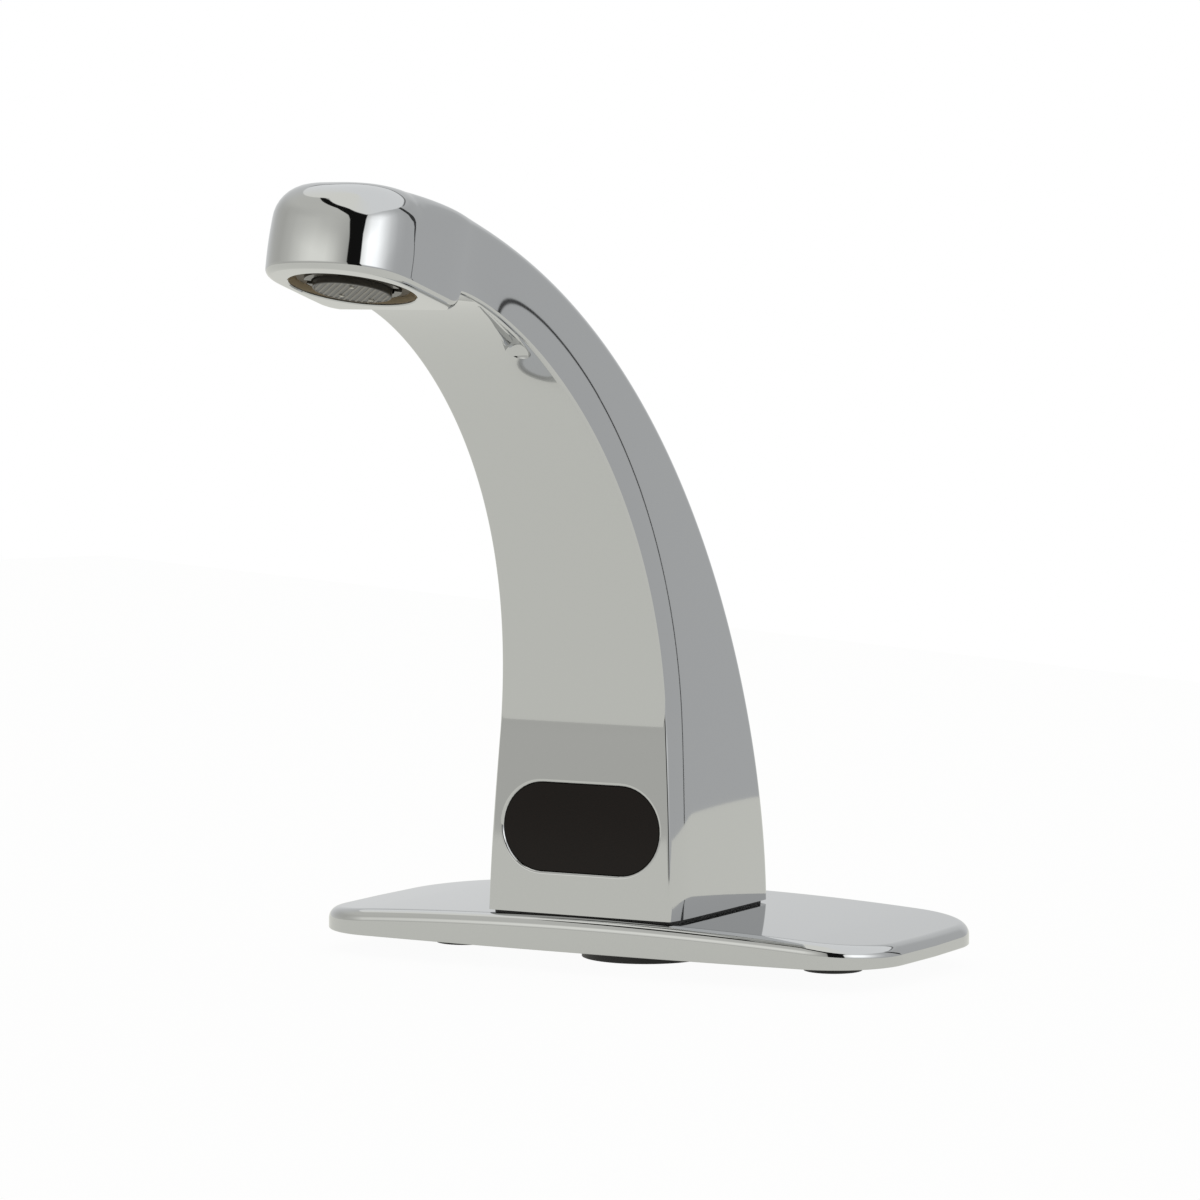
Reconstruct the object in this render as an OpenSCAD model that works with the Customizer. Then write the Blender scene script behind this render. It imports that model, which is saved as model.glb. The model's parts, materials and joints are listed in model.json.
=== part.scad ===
// Deck-mounted sensor tap. The deck plate's middle is the origin, on the deck's surface.
// +X is to the right, -Y is to the front, where the spout reaches, and +Z is up.

/* [Deck plate] */
// Length of the plate along X
plate_length = 155.4; // [150:0.2:164]
// Width of the plate at its middle
plate_width = 72.4; // [70:0.2:80]
// Height of the plate at its middle
plate_thickness = 8.2; // [7.6:0.1:9]
// How much lower the plate's top is at its ends
plate_crown = 3.1; // [2:0.1:3.4]
// How far each long side bows out at its middle
plate_side_bow = 3; // [1:0.2:4]
// How far each end bows out at its middle
plate_end_bow = 0.5; // [0.2:0.1:1]
// Radius of the plate's corners, seen from above
plate_corner_r = 18.8; // [14:0.2:22]
// Rounding of the plate's top edge
plate_edge_r = 3; // [1.5:0.1:3.4]
// Wall of the hollow plate
plate_wall = 2.2; // [1.8:0.1:2.6]
// Thickness of the foam gasket under the plate
plate_gasket_h = 1.8; // [1.4:0.1:2]
// Distance between the outer holes of the deck
deck_centres = 101.6; // [98:0.2:104]

/* [Body] */
// Width of the body at its foot
body_width = 50.4; // [49:0.2:53]
// From the middle of the plate to the front of the body's foot
body_front = 33.3; // [32.5:0.1:34]
// From the middle of the plate to the back of the body's foot
body_back = 16.8; // [16:0.2:19]
// Gap between the plate and the body's foot, filled by the gasket
body_seam = 0.35; // [0.2:0.05:0.6]
// Wall of the casting
body_wall = 2.6; // [2.2:0.1:2.8]
// Rounding of the long edges at the front
front_edge_r = 0.5; // [0.4:0.1:2]
// Rounding of the long edges at the back
back_edge_r = 2.7; // [1.5:0.1:4]
// How far each side swells between its edges
side_swell = 0.6; // [0:0.1:1]

/* [Spout] */
// From the middle of the plate to the middle of the outlet
reach = 133.7; // [126:0.5:142]
// Height of the outlet's middle above the deck
outlet_z = 157.1; // [150:0.5:166]
// Tilt of the outlet's plane, nose up
outlet_tilt = 15; // [12:1:18]
// Width of the head
head_width = 34.3; // [33:0.1:35.5]
// From the middle of the outlet to the tip of the nose
nose_reach = 19.6; // [19:0.2:22]
// From the middle of the outlet to the back of its pad
pad_back = 17.7; // [17:0.1:19]
// How far the pad stands below the arch
pad_step = 3.8; // [3:0.1:4.5]
// Height of the head above its pad
head_height = 21.6; // [20.8:0.1:23]
// How much lower the head is at its nose
nose_drop = 0.5; // [0.2:0.1:1.4]
// Rounding of the head's top edge at the nose
nose_edge_r = 9.5; // [7:0.5:10.5]
// Radius of each teardrop hollow at its round end
hollow_r = 4; // [2.5:0.1:4.2]

/* [Sensor] */
// Height of the window's middle above the deck
window_z = 29.1; // [28.6:0.1:31]
// How much wider and higher the window's flange is than the window
window_lip = 1.34; // [1:0.02:3]
// Height of the window
window_h = 21.1; // [19:0.1:21.5]
// How far the window lies behind the body's face
window_recess = 0.5; // [0.2:0.1:0.8]
// Depth of the sensor's housing
housing_depth = 8.4; // [7.6:0.1:8.8]

/* [Base insert] */
// Diameter of the spigot that enters the deck's middle hole
spigot_d = 30.8; // [30.4:0.2:32]
// How far the spigot and the plugs reach below the deck's surface
spigot_drop = 5; // [3:0.5:8]
// Thickness of the insert's flange
flange_h = 5; // [4:0.5:5.5]
// Tapping hole of the studs' thread, M6
stud_hole_d = 5; // [4.8:0.1:5.2]
// Distance between the two studs
stud_spacing = 20.4; // [20:0.1:21]
// Tapping hole of the inlet's thread, M10 x 1
inlet_hole_d = 9; // [8.6:0.1:9.2]
// Diameter of the plugs in the outer holes
plug_d = 14; // [12:0.5:16]

/* [Outlet] */
// Diameter of the recess round the outlet insert
mouth_d = 28.2; // [27.8:0.1:28.6]
// Diameter of the outlet insert, M21.5 x 1
aerator_d = 21.5; // [21:0.1:21.9]
// How far the insert lies behind the mouth
aerator_recess = 0.9; // [0.6:0.1:1.4]

/* [Valve] */
// Bore of the valve's piston
piston_d = 16; // [15:0.5:17]
// Lift of the plunger
plunger_lift = 2; // [1.6:0.1:2.4]
// Diameter of the plunger
plunger_d = 7; // [6.6:0.1:7.2]
// Diameter of the solenoid's winding
coil_d = 19; // [17:0.5:20]
// Lift of the inlet's check valve
check_lift = 2; // [1.5:0.1:2.5]
// Outer diameter of the water hose
hose_d = 6.4; // [6:0.1:7]

/* [Hidden] */
$fn = 64;

// Overrun of a cut past the face that it goes through
cut = 1;
// Clearance of a piece in its seat, and of a close fit
seat_gap = 0.1;
fit_gap = 0.05;
// Clearance between pieces that only lie beside each other
free_gap = 0.3;

// Plain helpers on points
function mix(a, b, share) = a + (b - a) * share;
function bezier(p, t) =
    len(p) == 1 ? p[0] : bezier([for (i = [0:len(p) - 2]) mix(p[i], p[i + 1], t)], t);
function unit(v) = v / norm(v);
function arc(centre, r, from, to, steps) =
    [for (i = [0:steps]) let (a = mix(from, to, i / steps)) centre + r * [cos(a), sin(a)]];
function flip_x(p) = [for (q = p) [-q.x, q.y]];
function flip_y(p) = [for (q = p) [q.x, -q.y]];
function reversed(p) = [for (i = [len(p) - 1:-1:0]) p[i]];
function box_points(x, front, back, r, steps = 4) = concat(
    arc([x - r, front + r], r, -90, 0, steps), arc([x - r, back - r], r, 0, 90, steps),
    arc([-x + r, back - r], r, 90, 180, steps), arc([-x + r, front + r], r, 180, 270, steps));

// A round tube through points, as one mesh: side rings are carried along without a twist
function route_dir(p, i) =
    unit(p[min(i + 1, len(p) - 1)] - p[max(i - 1, 0)]);
function carried(p, i) = i == 0
    ? let (d = route_dir(p, 0), a = abs(d.x) < 0.9 ? [1, 0, 0] : [0, 1, 0]) unit(a - d * (a * d))
    : let (d = route_dir(p, i), a = carried(p, i - 1)) unit(a - d * (a * d));
module swept_tube(p, d, sides = 10) {
    ring = [for (i = [0:len(p) - 1]) let (n = carried(p, i), b = cross(route_dir(p, i), n))
        for (k = [0:sides - 1]) p[i] + d / 2 * (n * cos(360 * k / sides) + b * sin(360 * k / sides))];
    last = (len(p) - 1) * sides;
    polyhedron(ring, concat(
        [[for (k = [0:sides - 1]) k]], [[for (k = [sides - 1:-1:0]) last + k]],
        [for (i = [0:len(p) - 2]) for (k = [0:sides - 1])
            let (a = i * sides + k, b = i * sides + (k + 1) % sides)
            each [[a, b + sides, b], [a, a + sides, b + sides]]]));
}

// A compression spring of round wire; its least gap to itself is printed
module coil_spring(d, wire, length, turns, sides = 6, steps = 12) {
    points = [for (i = [0:turns * steps]) let (a = 360 * i / steps)
        [(d - wire) / 2 * cos(a), (d - wire) / 2 * sin(a),
            mix(wire / 2, length - wire / 2, i / turns / steps)]];
    gaps = [for (i = [0:len(points) - steps - 1]) norm(points[i + steps] - points[i]) - wire];
    echo(least_gap = min(gaps));
    swept_tube(points, wire, sides);
}

// Levels of the foot, from the deck up
plate_top = plate_thickness;
body_z = plate_top + body_seam;
insert_top = body_z + flange_h;
plug_x = deck_centres / 2;

// The plate's outline, seen from above, inset by a distance, from its right end round to the front
plate_half_w = plate_width / 2;
plate_half_l = plate_length / 2;
plate_corner_x = plate_half_l - plate_end_bow - plate_corner_r;
function plate_side_y(x) = plate_half_w - plate_side_bow * pow(x / plate_half_l, 2);
plate_corner_y = plate_side_y(plate_corner_x) - plate_corner_r;
side_slope = 2 * plate_side_bow * plate_corner_x / pow(plate_half_l, 2);
function plate_quarter(inset) = concat(
    [[plate_half_l - inset, 0]],
    [for (i = [0:8]) let (a = mix(2, 90 - atan(side_slope), i / 8), r = plate_corner_r - inset)
        [plate_corner_x + r * cos(a), plate_corner_y + r * sin(a)]],
    [for (share = [0.8, 0.6, 0.4, 0.2]) let (x = plate_corner_x * share) [x, plate_side_y(x) - inset]]);
function plate_outline(inset) = let (q = plate_quarter(inset), side = [[0, plate_half_w - inset]],
        n = len(q) - 1, q_in = [for (i = [1:n]) q[i]])
    concat(q, side, reversed(flip_x(q_in)), [[-q[0].x, 0]], flip_x(flip_y(q_in)), flip_y(side),
        reversed(flip_y(q_in)));
function plate_top_z(x) = plate_top - plate_crown * pow(x / plate_half_l, 2);

// The plate's outer skin: a wall, a rounded edge and a crowned top
module plate_skin() {
    steps = 5;
    full = plate_outline(0);
    n = len(full);
    layers = concat([[0, 0]], [for (i = [0:steps]) let (a = 90 * i / steps) [1, a]]);
    points = [for (l = layers) let (inset = l[0] == 0 ? 0 : plate_edge_r * (1 - cos(l[1])),
            o = plate_outline(inset))
        for (i = [0:n - 1]) [o[i].x, o[i].y,
            l[0] == 0 ? 0 : plate_top_z(full[i].x) - plate_edge_r * (1 - sin(l[1]))]];
    top = (len(layers) - 1) * n;
    half = n / 2;
    polyhedron(points, concat(
        [for (m = [0:len(layers) - 2]) for (i = [0:n - 1])
            let (a = m * n + i, b = m * n + (i + 1) % n)
            each [[a, b + n, b], [a, a + n, b + n]]],
        [[for (i = [0:n - 1]) i]],
        [[top, top + n - 1, top + 1], [top + half, top + half - 1, top + half + 1]],
        [for (i = [1:half - 2]) let (a = top + i, b = top + i + 1, c = top + n - i - 1, d = top + n - i)
            each [[a, d, b], [d, c, b]]]));
}

// The arch: two curves in the plane x = 0, as points [y, z], and the width along them
reach_tilt = [-cos(outlet_tilt), sin(outlet_tilt)];
head_up = [sin(outlet_tilt), cos(outlet_tilt)];
function head_point(s, h) = [-reach, outlet_z] + s * reach_tilt + h * head_up;
rise = outlet_z - body_z;
foot_height = 42.5;
foot_lean = 2;
// How far the curves' inner points lie from their ends
front_lead_share = 1.55;
front_pull_shares = [0.216, -0.025];
back_pull_shares = [-0.011, 0.52];
head_pull_share = 0.609;
// Where the straight foot ends, in the parameter of the arch
foot_share = 0.2;
foot_low = [-body_front, body_z];
foot_top = [-body_front + foot_lean, body_z + foot_height];
arch_front_end = head_point(-pad_back, pad_step);
arch_back_end = head_point(-pad_back, head_height);
front_curve = [foot_top, foot_top + (foot_top - foot_low) * front_lead_share,
    arch_front_end + [reach * front_pull_shares[0], rise * front_pull_shares[1]], arch_front_end];
back_curve = [[body_back, body_z],
    [body_back + reach * back_pull_shares[0], body_z + rise * back_pull_shares[1]],
    arch_back_end - reach_tilt * reach * head_pull_share, arch_back_end];
function front_at(t) = t < foot_share
    ? mix(foot_low, foot_top, t / foot_share) : bezier(front_curve, (t - foot_share) / (1 - foot_share));
// The back runs ahead of the front, so that each section stands square to the arch
back_lead_share = 0.65;
function back_at(t) = bezier(back_curve, t + back_lead_share * t * t * (1 - t));
// Widths at even steps of the curve's control, as shares from the head's to the foot's
width_shares = [1, 0.965, 0.115, 0.255, -0.325, 0];
function width_at(t) =
    bezier([for (share = width_shares) mix(head_width, body_width, share)], t);

// Half of a section, from the middle of its front to the middle of its back, as [out, along]
front_steps = 3;
side_steps = 5;
back_steps = 5;
half_count = front_steps + side_steps + back_steps + 2;
function half_profile(r, depth, rf, rb, swell) = concat(
    [[0, 0]],
    [for (i = [0:front_steps]) let (a = 90 * i / front_steps) [r - rf + rf * sin(a), rf - rf * cos(a)]],
    [for (i = [1:side_steps - 1]) let (share = i / side_steps)
        [r + swell * sin(180 * share), mix(rf, depth - rb, share)]],
    [for (i = [0:back_steps]) let (a = 90 * i / back_steps)
        [r - rb + rb * cos(a), depth - rb + rb * sin(a)]],
    [[0, depth]]);
// A closed ring from half a section: its right side, then its left
function ring_of(half, origin, dir) = concat(
    [for (q = half) let (p = origin + dir * q[1]) [q[0], p[0], p[1]]],
    [for (i = [len(half) - 2:-1:1]) let (q = half[i], p = origin + dir * q[1]) [-q[0], p[0], p[1]]]);

// The back edges grow rounder from this share of the arch on, up to a share of the nose's rounding
soften_share = 0.6;
neck_edge_share = 0.3;
shoulder_edge_share = 0.8;
hollow_edge_r = 0.3;
function arch_ring(t, inset) =
    let (a = front_at(t), b = back_at(t), d = unit(b - a), depth = norm(b - a) - 2 * inset,
        late = max(0, (t - soften_share) / (1 - soften_share)),
        rb = mix(back_edge_r, nose_edge_r * neck_edge_share, late * late))
    ring_of(half_profile(width_at(t) / 2 - inset, depth, inset > 0 ? hollow_edge_r : front_edge_r,
        max(rb - inset, hollow_edge_r), side_swell * (1 - late)), a + d * inset, d);

// Where the nose starts to round, seen from above, and how blunt it is
nose_share = 0.15;
nose_start = nose_reach * nose_share;
nose_power = 2.3;
head_half = head_width / 2;
pad_corner_r = 5;
rim_edge_r = 1.6;
function head_ring(s) =
    let (share = (s + pad_back) / (nose_start + pad_back),
        near = min(1, (s + pad_back) / pad_corner_r),
        rf = rim_edge_r + (pad_corner_r - rim_edge_r) * (1 - sqrt(1 - pow(1 - near, 2))))
    ring_of(half_profile(head_half, head_height, rf,
        nose_edge_r * mix(neck_edge_share, shoulder_edge_share, share), 0), head_point(s, 0), head_up);
// One section through the nose, at an angle from the right side round to the left
function nose_half(angle) =
    let (q = [head_half * pow(abs(cos(angle)), 2 / nose_power),
            (nose_reach - nose_start) * pow(sin(angle), 2 / nose_power)],
        out = norm(q), d = q / out, side = angle > 90 ? -1 : 1,
        depth = head_height - nose_drop * sin(angle),
        rb = nose_edge_r * mix(shoulder_edge_share, 1, sin(angle)),
        profile = half_profile(out, depth, rim_edge_r, rb, 0))
    [for (i = [1:half_count - 1]) let (p = profile[i],
            yz = head_point(nose_start + p[0] * d[1], p[1])) [side * p[0] * d[0], yz[0], yz[1]]];

// How far the wall between the arch and the pad slopes forward
pad_step_run = 0.6;
arch_steps = 34;
head_steps = 6;
nose_steps = 16;
// The head's sections stand closer together where it begins
head_growth = 1.3;
function ring_faces(rings, n, first = 0) = [for (m = [0:rings - 2]) for (j = [0:n - 1])
    let (a = first + m * n + j, b = first + m * n + (j + 1) % n) each [[a, b + n, b], [a, a + n, b + n]]];
module spout_skin() {
    p = half_count;
    n = 2 * p;
    rings = concat([for (i = [0:arch_steps]) arch_ring(i / arch_steps, 0)],
        [for (i = [0:head_steps])
            head_ring(mix(-pad_back + pad_step_run, nose_start, pow(i / head_steps, head_growth)))]);
    last = (len(rings) - 1) * n;
    fan = [for (k = [1:nose_steps - 1]) nose_half(180 * k / nose_steps)];
    start = len(rings) * n;
    // Point j of the nose's section k, whose first and last sections are the last ring's two sides
    function vid(k, j) = j == 0 ? last : j == p ? last + p : k == 0 ? last + j
        : k == nose_steps ? last + n - j : start + (k - 1) * (p - 1) + j - 1;
    polyhedron(concat([for (r = rings) each r], [for (f = fan) each f]), concat(
        [[for (j = [0:n - 1]) j]],
        ring_faces(len(rings), n),
        [for (k = [0:nose_steps - 1]) for (j = [0:p - 1])
            each [if (j < p - 1) [vid(k, j), vid(k + 1, j + 1), vid(k, j + 1)],
                if (j > 0) [vid(k, j), vid(k + 1, j), vid(k + 1, j + 1)]]]));
}
// The hollow inside the arch, open at the foot
module spout_hollow() {
    steps = 16;
    foot = [for (q = arch_ring(0, body_wall)) q - [0, 0, cut]];
    rings = concat([foot], [for (i = [0:steps]) arch_ring(i / steps, body_wall)]);
    n = len(foot);
    end = (len(rings) - 1) * n;
    polyhedron([for (r = rings) each r], concat([[for (j = [0:n - 1]) j]],
        ring_faces(len(rings), n), [[for (j = [n - 1:-1:0]) end + j]]));
}

// The window is as wide as its flange leaves it between the body's side walls
inner_w = width_at(foot_share * (window_z - body_z) / foot_height) - 2 * (body_wall + free_gap);
window_w = inner_w - window_lip;

// Frames of the two tilted groups: the outlet, with -Y to the nose, and the sensor, with +Y inwards
module at_outlet() { translate([0, -reach, outlet_z]) rotate([-outlet_tilt, 0, 0]) children(); }
lean = atan(foot_lean / foot_height);
face_y = -body_front + (window_z - body_z) * tan(lean);
module at_window() { translate([0, face_y, window_z]) rotate([-lean, 0, 0]) children(); }
// A cylinder that lies along the depth of the window's frame, from one depth to another
module window_rod(x, z, d, from, to) {
    translate([x, to, z]) rotate([90, 0, 0]) cylinder(d = d, h = to - from);
}
// A slab with round ends in the window's frame
module window_slab(w, h, from, to) {
    translate([0, to, 0]) rotate([90, 0, 0]) linear_extrude(to - from) {
        square([w - h, h], center = true);
        for (x = [-1, 1]) translate([x * (w - h) / 2, 0]) circle(d = h);
    }
}

// A pan-head screw: z = 0 is under its head, the shank runs down through what it grips
head_d_share = 1.75;
head_h_share = 0.55;
drive_share = 0.75;
function screw_head_d(d) = d * head_d_share;
function screw_head_h(d) = d * head_h_share;
module screw(d, tap_d, grip, hold) {
    difference() {
        cylinder(d = screw_head_d(d), h = screw_head_h(d));
        translate([0, 0, screw_head_h(d) / 2]) cylinder(d = d * drive_share, h = screw_head_h(d), $fn = 6);
    }
    translate([0, 0, -grip]) cylinder(d = d, h = grip);
    translate([0, 0, -grip - hold]) cylinder(d = tap_d - 2 * fit_gap, h = hold);
}

// Base insert and its screws, which pull the casting down on the plate
base_screw_d = 4;
base_tap_d = 3.3;
boss_r = 4.2;
boss_h = 10;
spigot_z = -spigot_drop;
insert_edge_gap = body_wall + 2 * free_gap;
insert_half_w = body_width / 2 - insert_edge_gap;
insert_front = -body_front + insert_edge_gap;
insert_back = body_back - insert_edge_gap;
boss_x = insert_half_w - free_gap - screw_head_d(base_screw_d) / 2;
boss_ys = [insert_front + 4 * base_screw_d, insert_back - 1.6 * base_screw_d];
module at_bosses(z) {
    for (x = [-boss_x, boss_x]) for (y = boss_ys) translate([x, y, z]) children();
}

// Casting
mouth_depth = 4;
thread_step = 1.5;
thread_d = mouth_d - 2 * thread_step;
thread_depth = 9.5;
pocket_r = 9.5;
pocket_half_w = 9;
pocket_low = 10;
pocket_high = 18;
bezel_r = 0.8;
window_screw_d = 3;
window_tap_d = 2.4;
window_boss_d = 5.2;
window_boss_h = 4;
window_screw_share = 0.31;
window_screw_rise = 4.4;
window_screw_x = window_w * window_screw_share;
window_screw_z = window_h / 2 + window_screw_rise;
// Where the teardrop hollows lie: across the arch, as shares of its width there, and along it
hollow_tip_shares = [0.47, 0.905];
hollow_end_shares = [0.3, 0.79];
hollow_sink_share = 0.5;
module window_cut() {
    module bezel() polygon(concat([[0, -cut], [window_h / 2 + bezel_r, -cut]],
        [for (i = [0:6]) let (a = 90 * i / 6)
            [window_h / 2 + bezel_r * (1 - sin(a)), bezel_r * (1 - cos(a))]], [[0, bezel_r]]));
    window_slab(window_w, window_h, -cut, body_wall + cut);
    for (x = [-1, 1]) translate([x * (window_w - window_h) / 2, 0, 0]) rotate([-90, 0, 0])
        rotate_extrude() bezel();
    translate([-(window_w - window_h) / 2, 0, 0]) rotate([90, 0, 90])
        linear_extrude(window_w - window_h)
            for (m = [0, 1]) mirror([0, m]) rotate(90) mirror([0, 1]) bezel();
}
module teardrop_hollow(side) {
    function seat(shares, sink) = let (f = front_at(shares[1]))
        [side * width_at(shares[1]) * shares[0], f[0], f[1] - sink];
    hull() {
        translate(seat(hollow_tip_shares, 0)) sphere(r = hollow_r / 5, $fn = 16);
        translate(seat(hollow_end_shares, hollow_r * hollow_sink_share)) sphere(r = hollow_r, $fn = 32);
    }
}
module spout_casting() color([0.78, 0.79, 0.8]) difference() {
    union() {
        difference() {
            spout_skin();
            spout_hollow();
        }
        intersection() {
            spout_skin();
            union() {
                // The head stays solid round the outlet's thread
                at_outlet() translate([-head_width, -nose_reach - cut, -cut])
                    cube([2 * head_width, nose_reach + pad_back + cut, head_height + 2 * cut]);
                // Bosses for the insert's screws, each with a rib to the side wall
                at_bosses(insert_top + seat_gap) cylinder(r = boss_r, h = boss_h);
                for (x = [-body_width / 2, boss_x]) for (y = boss_ys)
                    translate([x, y - boss_r / 2, insert_top + seat_gap])
                        cube([body_width / 2 - boss_x, boss_r, boss_h]);
                at_window() for (x = [-window_screw_x, window_screw_x])
                    window_rod(x, window_screw_z, window_boss_d, 0, body_wall + window_boss_h);
            }
        }
    }
    at_bosses(insert_top) cylinder(d = base_tap_d, h = boss_h);
    at_window() {
        window_cut();
        for (x = [-window_screw_x, window_screw_x])
            window_rod(x, window_screw_z, window_tap_d, body_wall, body_wall + window_boss_h + cut);
    }
    at_outlet() {
        translate([0, 0, -cut]) cylinder(d = mouth_d, h = mouth_depth + cut);
        cylinder(d = thread_d, h = thread_depth);
        cylinder(r = pocket_r, h = pocket_high);
        translate([-pocket_half_w, 0, pocket_low])
            cube([2 * pocket_half_w, pad_back + cut, pocket_high - pocket_low]);
    }
    for (side = [-1, 1]) teardrop_hollow(side);
}

// Deck plate
spigot_hole_d = spigot_d + 2 * free_gap;
plate_ledge = 3;
plate_roof = 1.3;
plate_boss_w = 5;
plug_post_d = 9;
plug_screw_d = 3.5;
plug_tap_d = 2.8;
pocket_inset = plate_wall + plate_ledge;
pocket_roof_z = plate_top_z(plate_half_l - pocket_inset) - plate_roof;
seat_depth = 0.6;
seat_inset = 0.8;
seat_w = 1.2;
module body_rim(inset, from, to) {
    translate([0, 0, from]) linear_extrude(to - from)
        polygon(box_points(body_width / 2 - inset, -body_front + inset, body_back - inset, back_edge_r));
}
module cover_plate() color([0.78, 0.79, 0.8]) difference() {
    plate_skin();
    translate([0, 0, -cut]) linear_extrude(plate_gasket_h + cut) polygon(plate_outline(plate_wall));
    difference() {
        translate([0, 0, -cut]) linear_extrude(pocket_roof_z + cut) polygon(plate_outline(pocket_inset));
        cylinder(d = spigot_hole_d + 2 * plate_boss_w, h = plate_top);
        for (x = [-plug_x, plug_x]) translate([x, 0, 0]) cylinder(d = plug_post_d, h = plate_top);
    }
    translate([0, 0, -cut]) cylinder(d = spigot_hole_d, h = plate_top + 2 * cut);
    for (x = [-plug_x, plug_x]) translate([x, 0, -cut]) cylinder(d = plug_tap_d, h = pocket_roof_z + cut);
    difference() {
        body_rim(seat_inset, plate_top - seat_depth, plate_top + cut);
        body_rim(seat_inset + seat_w, 0, plate_top + 2 * cut);
    }
}
module body_gasket() color([0.07, 0.07, 0.07]) difference() {
    body_rim(seat_inset + fit_gap, plate_top - seat_depth, body_z);
    body_rim(seat_inset + seat_w - fit_gap, 0, body_z + cut);
}
module plate_gasket() color([0.12, 0.12, 0.12]) difference() {
    linear_extrude(plate_gasket_h) polygon(plate_outline(plate_wall + seat_gap));
    translate([0, 0, -cut]) cylinder(d = spigot_d + free_gap, h = plate_gasket_h + 2 * cut);
    for (x = [-plug_x, plug_x]) translate([x, 0, -cut])
        cylinder(d = plug_d + free_gap, h = plate_gasket_h + 2 * cut);
}
plug_recess = 1;
module locating_plugs() color([0.08, 0.08, 0.08]) for (x = [-plug_x, plug_x]) translate([x, 0, spigot_z])
    difference() {
        union() {
            cylinder(d = plug_d, h = spigot_drop - free_gap);
            cylinder(d = plug_d - 2 * free_gap, h = spigot_drop + plate_gasket_h);
        }
        translate([0, 0, -cut])
            cylinder(d = plug_screw_d + 2 * seat_gap, h = spigot_drop + plate_gasket_h + 2 * cut);
        translate([0, 0, -cut]) cylinder(d = screw_head_d(plug_screw_d) + 2 * free_gap,
            h = plug_recess + screw_head_h(plug_screw_d) + cut);
    }
module plug_screws() color([0.6, 0.6, 0.62]) for (x = [-plug_x, plug_x]) {
    bearing_z = spigot_z + plug_recess + screw_head_h(plug_screw_d);
    translate([x, 0, bearing_z]) rotate([180, 0, 0]) screw(plug_screw_d, plug_tap_d,
        plate_gasket_h - bearing_z, pocket_roof_z - plate_gasket_h - free_gap);
}

// What passes through the insert's spigot
inlet_y = 6.2;
stem_wall = 1.5;
stem_d = inlet_hole_d + 2 * stem_wall;
socket_y = -7.6;
socket_d = 8.8;
stud_insert_wall = 1.3;
stud_insert_d = stud_hole_d + 2 * stud_insert_wall;
stud_insert_h = 12;
module base_insert() color([0.1, 0.1, 0.1]) difference() {
    union() {
        translate([0, 0, body_z]) linear_extrude(flange_h)
            polygon(box_points(insert_half_w, insert_front, insert_back, back_edge_r));
        // Above the deck the spigot is a little slimmer, and its neck stays inside the flange's back edge
        translate([0, 0, spigot_z]) {
            cylinder(d = spigot_d, h = spigot_drop - free_gap);
            cylinder(d = spigot_d - 2 * free_gap, h = plate_top - seat_depth + spigot_drop);
        }
        translate([0, 0, plate_top - seat_depth - cut])
            cylinder(r = insert_back, h = body_z - plate_top + seat_depth + 2 * cut);
    }
    translate([0, inlet_y, spigot_z - cut])
        cylinder(d = stem_d + 2 * seat_gap, h = insert_top - spigot_z + 2 * cut);
    translate([0, socket_y, spigot_z - cut])
        cylinder(d = socket_d + 2 * seat_gap, h = insert_top - spigot_z + 2 * cut);
    for (x = [-1, 1]) translate([x * stud_spacing / 2, 0, spigot_z - cut])
        cylinder(d = stud_insert_d, h = stud_insert_h + cut);
    at_bosses(body_z - cut) {
        cylinder(d = base_screw_d + 2 * seat_gap, h = flange_h + 2 * cut);
        cylinder(d = screw_head_d(base_screw_d) + free_gap, h = screw_head_h(base_screw_d) + cut);
    }
}
module stud_inserts() color([0.72, 0.58, 0.3]) for (x = [-1, 1])
    translate([x * stud_spacing / 2, 0, spigot_z]) difference() {
        cylinder(d = stud_insert_d - 2 * fit_gap, h = stud_insert_h - fit_gap);
        translate([0, 0, -cut]) cylinder(d = stud_hole_d, h = stud_insert_h + 2 * cut);
    }
module base_screws() color([0.6, 0.6, 0.62]) at_bosses(body_z + screw_head_h(base_screw_d))
    rotate([180, 0, 0])
        screw(base_screw_d, base_tap_d, flange_h - screw_head_h(base_screw_d), boss_h * 0.8);
socket_lip = 1.2;
socket_gap = 1;
socket_recess = 3.6;
socket_top = insert_top + socket_lip;
socket_floor = spigot_z + socket_gap + socket_recess;
pin_d = 1;
pin_circle_r = 1.8;
pin_h = 3;
module power_socket() color([0.15, 0.15, 0.16]) translate([0, socket_y, 0]) difference() {
    union() {
        translate([0, 0, spigot_z + socket_gap])
            cylinder(d = socket_d, h = socket_top - spigot_z - socket_gap);
        translate([0, 0, insert_top]) cylinder(d = socket_d + 2 * socket_lip, h = socket_lip);
    }
    translate([0, 0, spigot_z]) cylinder(d = socket_d - 2 * socket_lip, h = socket_floor - spigot_z);
}
module socket_pins() color([0.83, 0.68, 0.32]) for (a = [90, 210, 330])
    translate([pin_circle_r * cos(a), socket_y + pin_circle_r * sin(a), socket_floor - pin_h])
        cylinder(d = pin_d, h = pin_h, $fn = 24);

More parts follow.
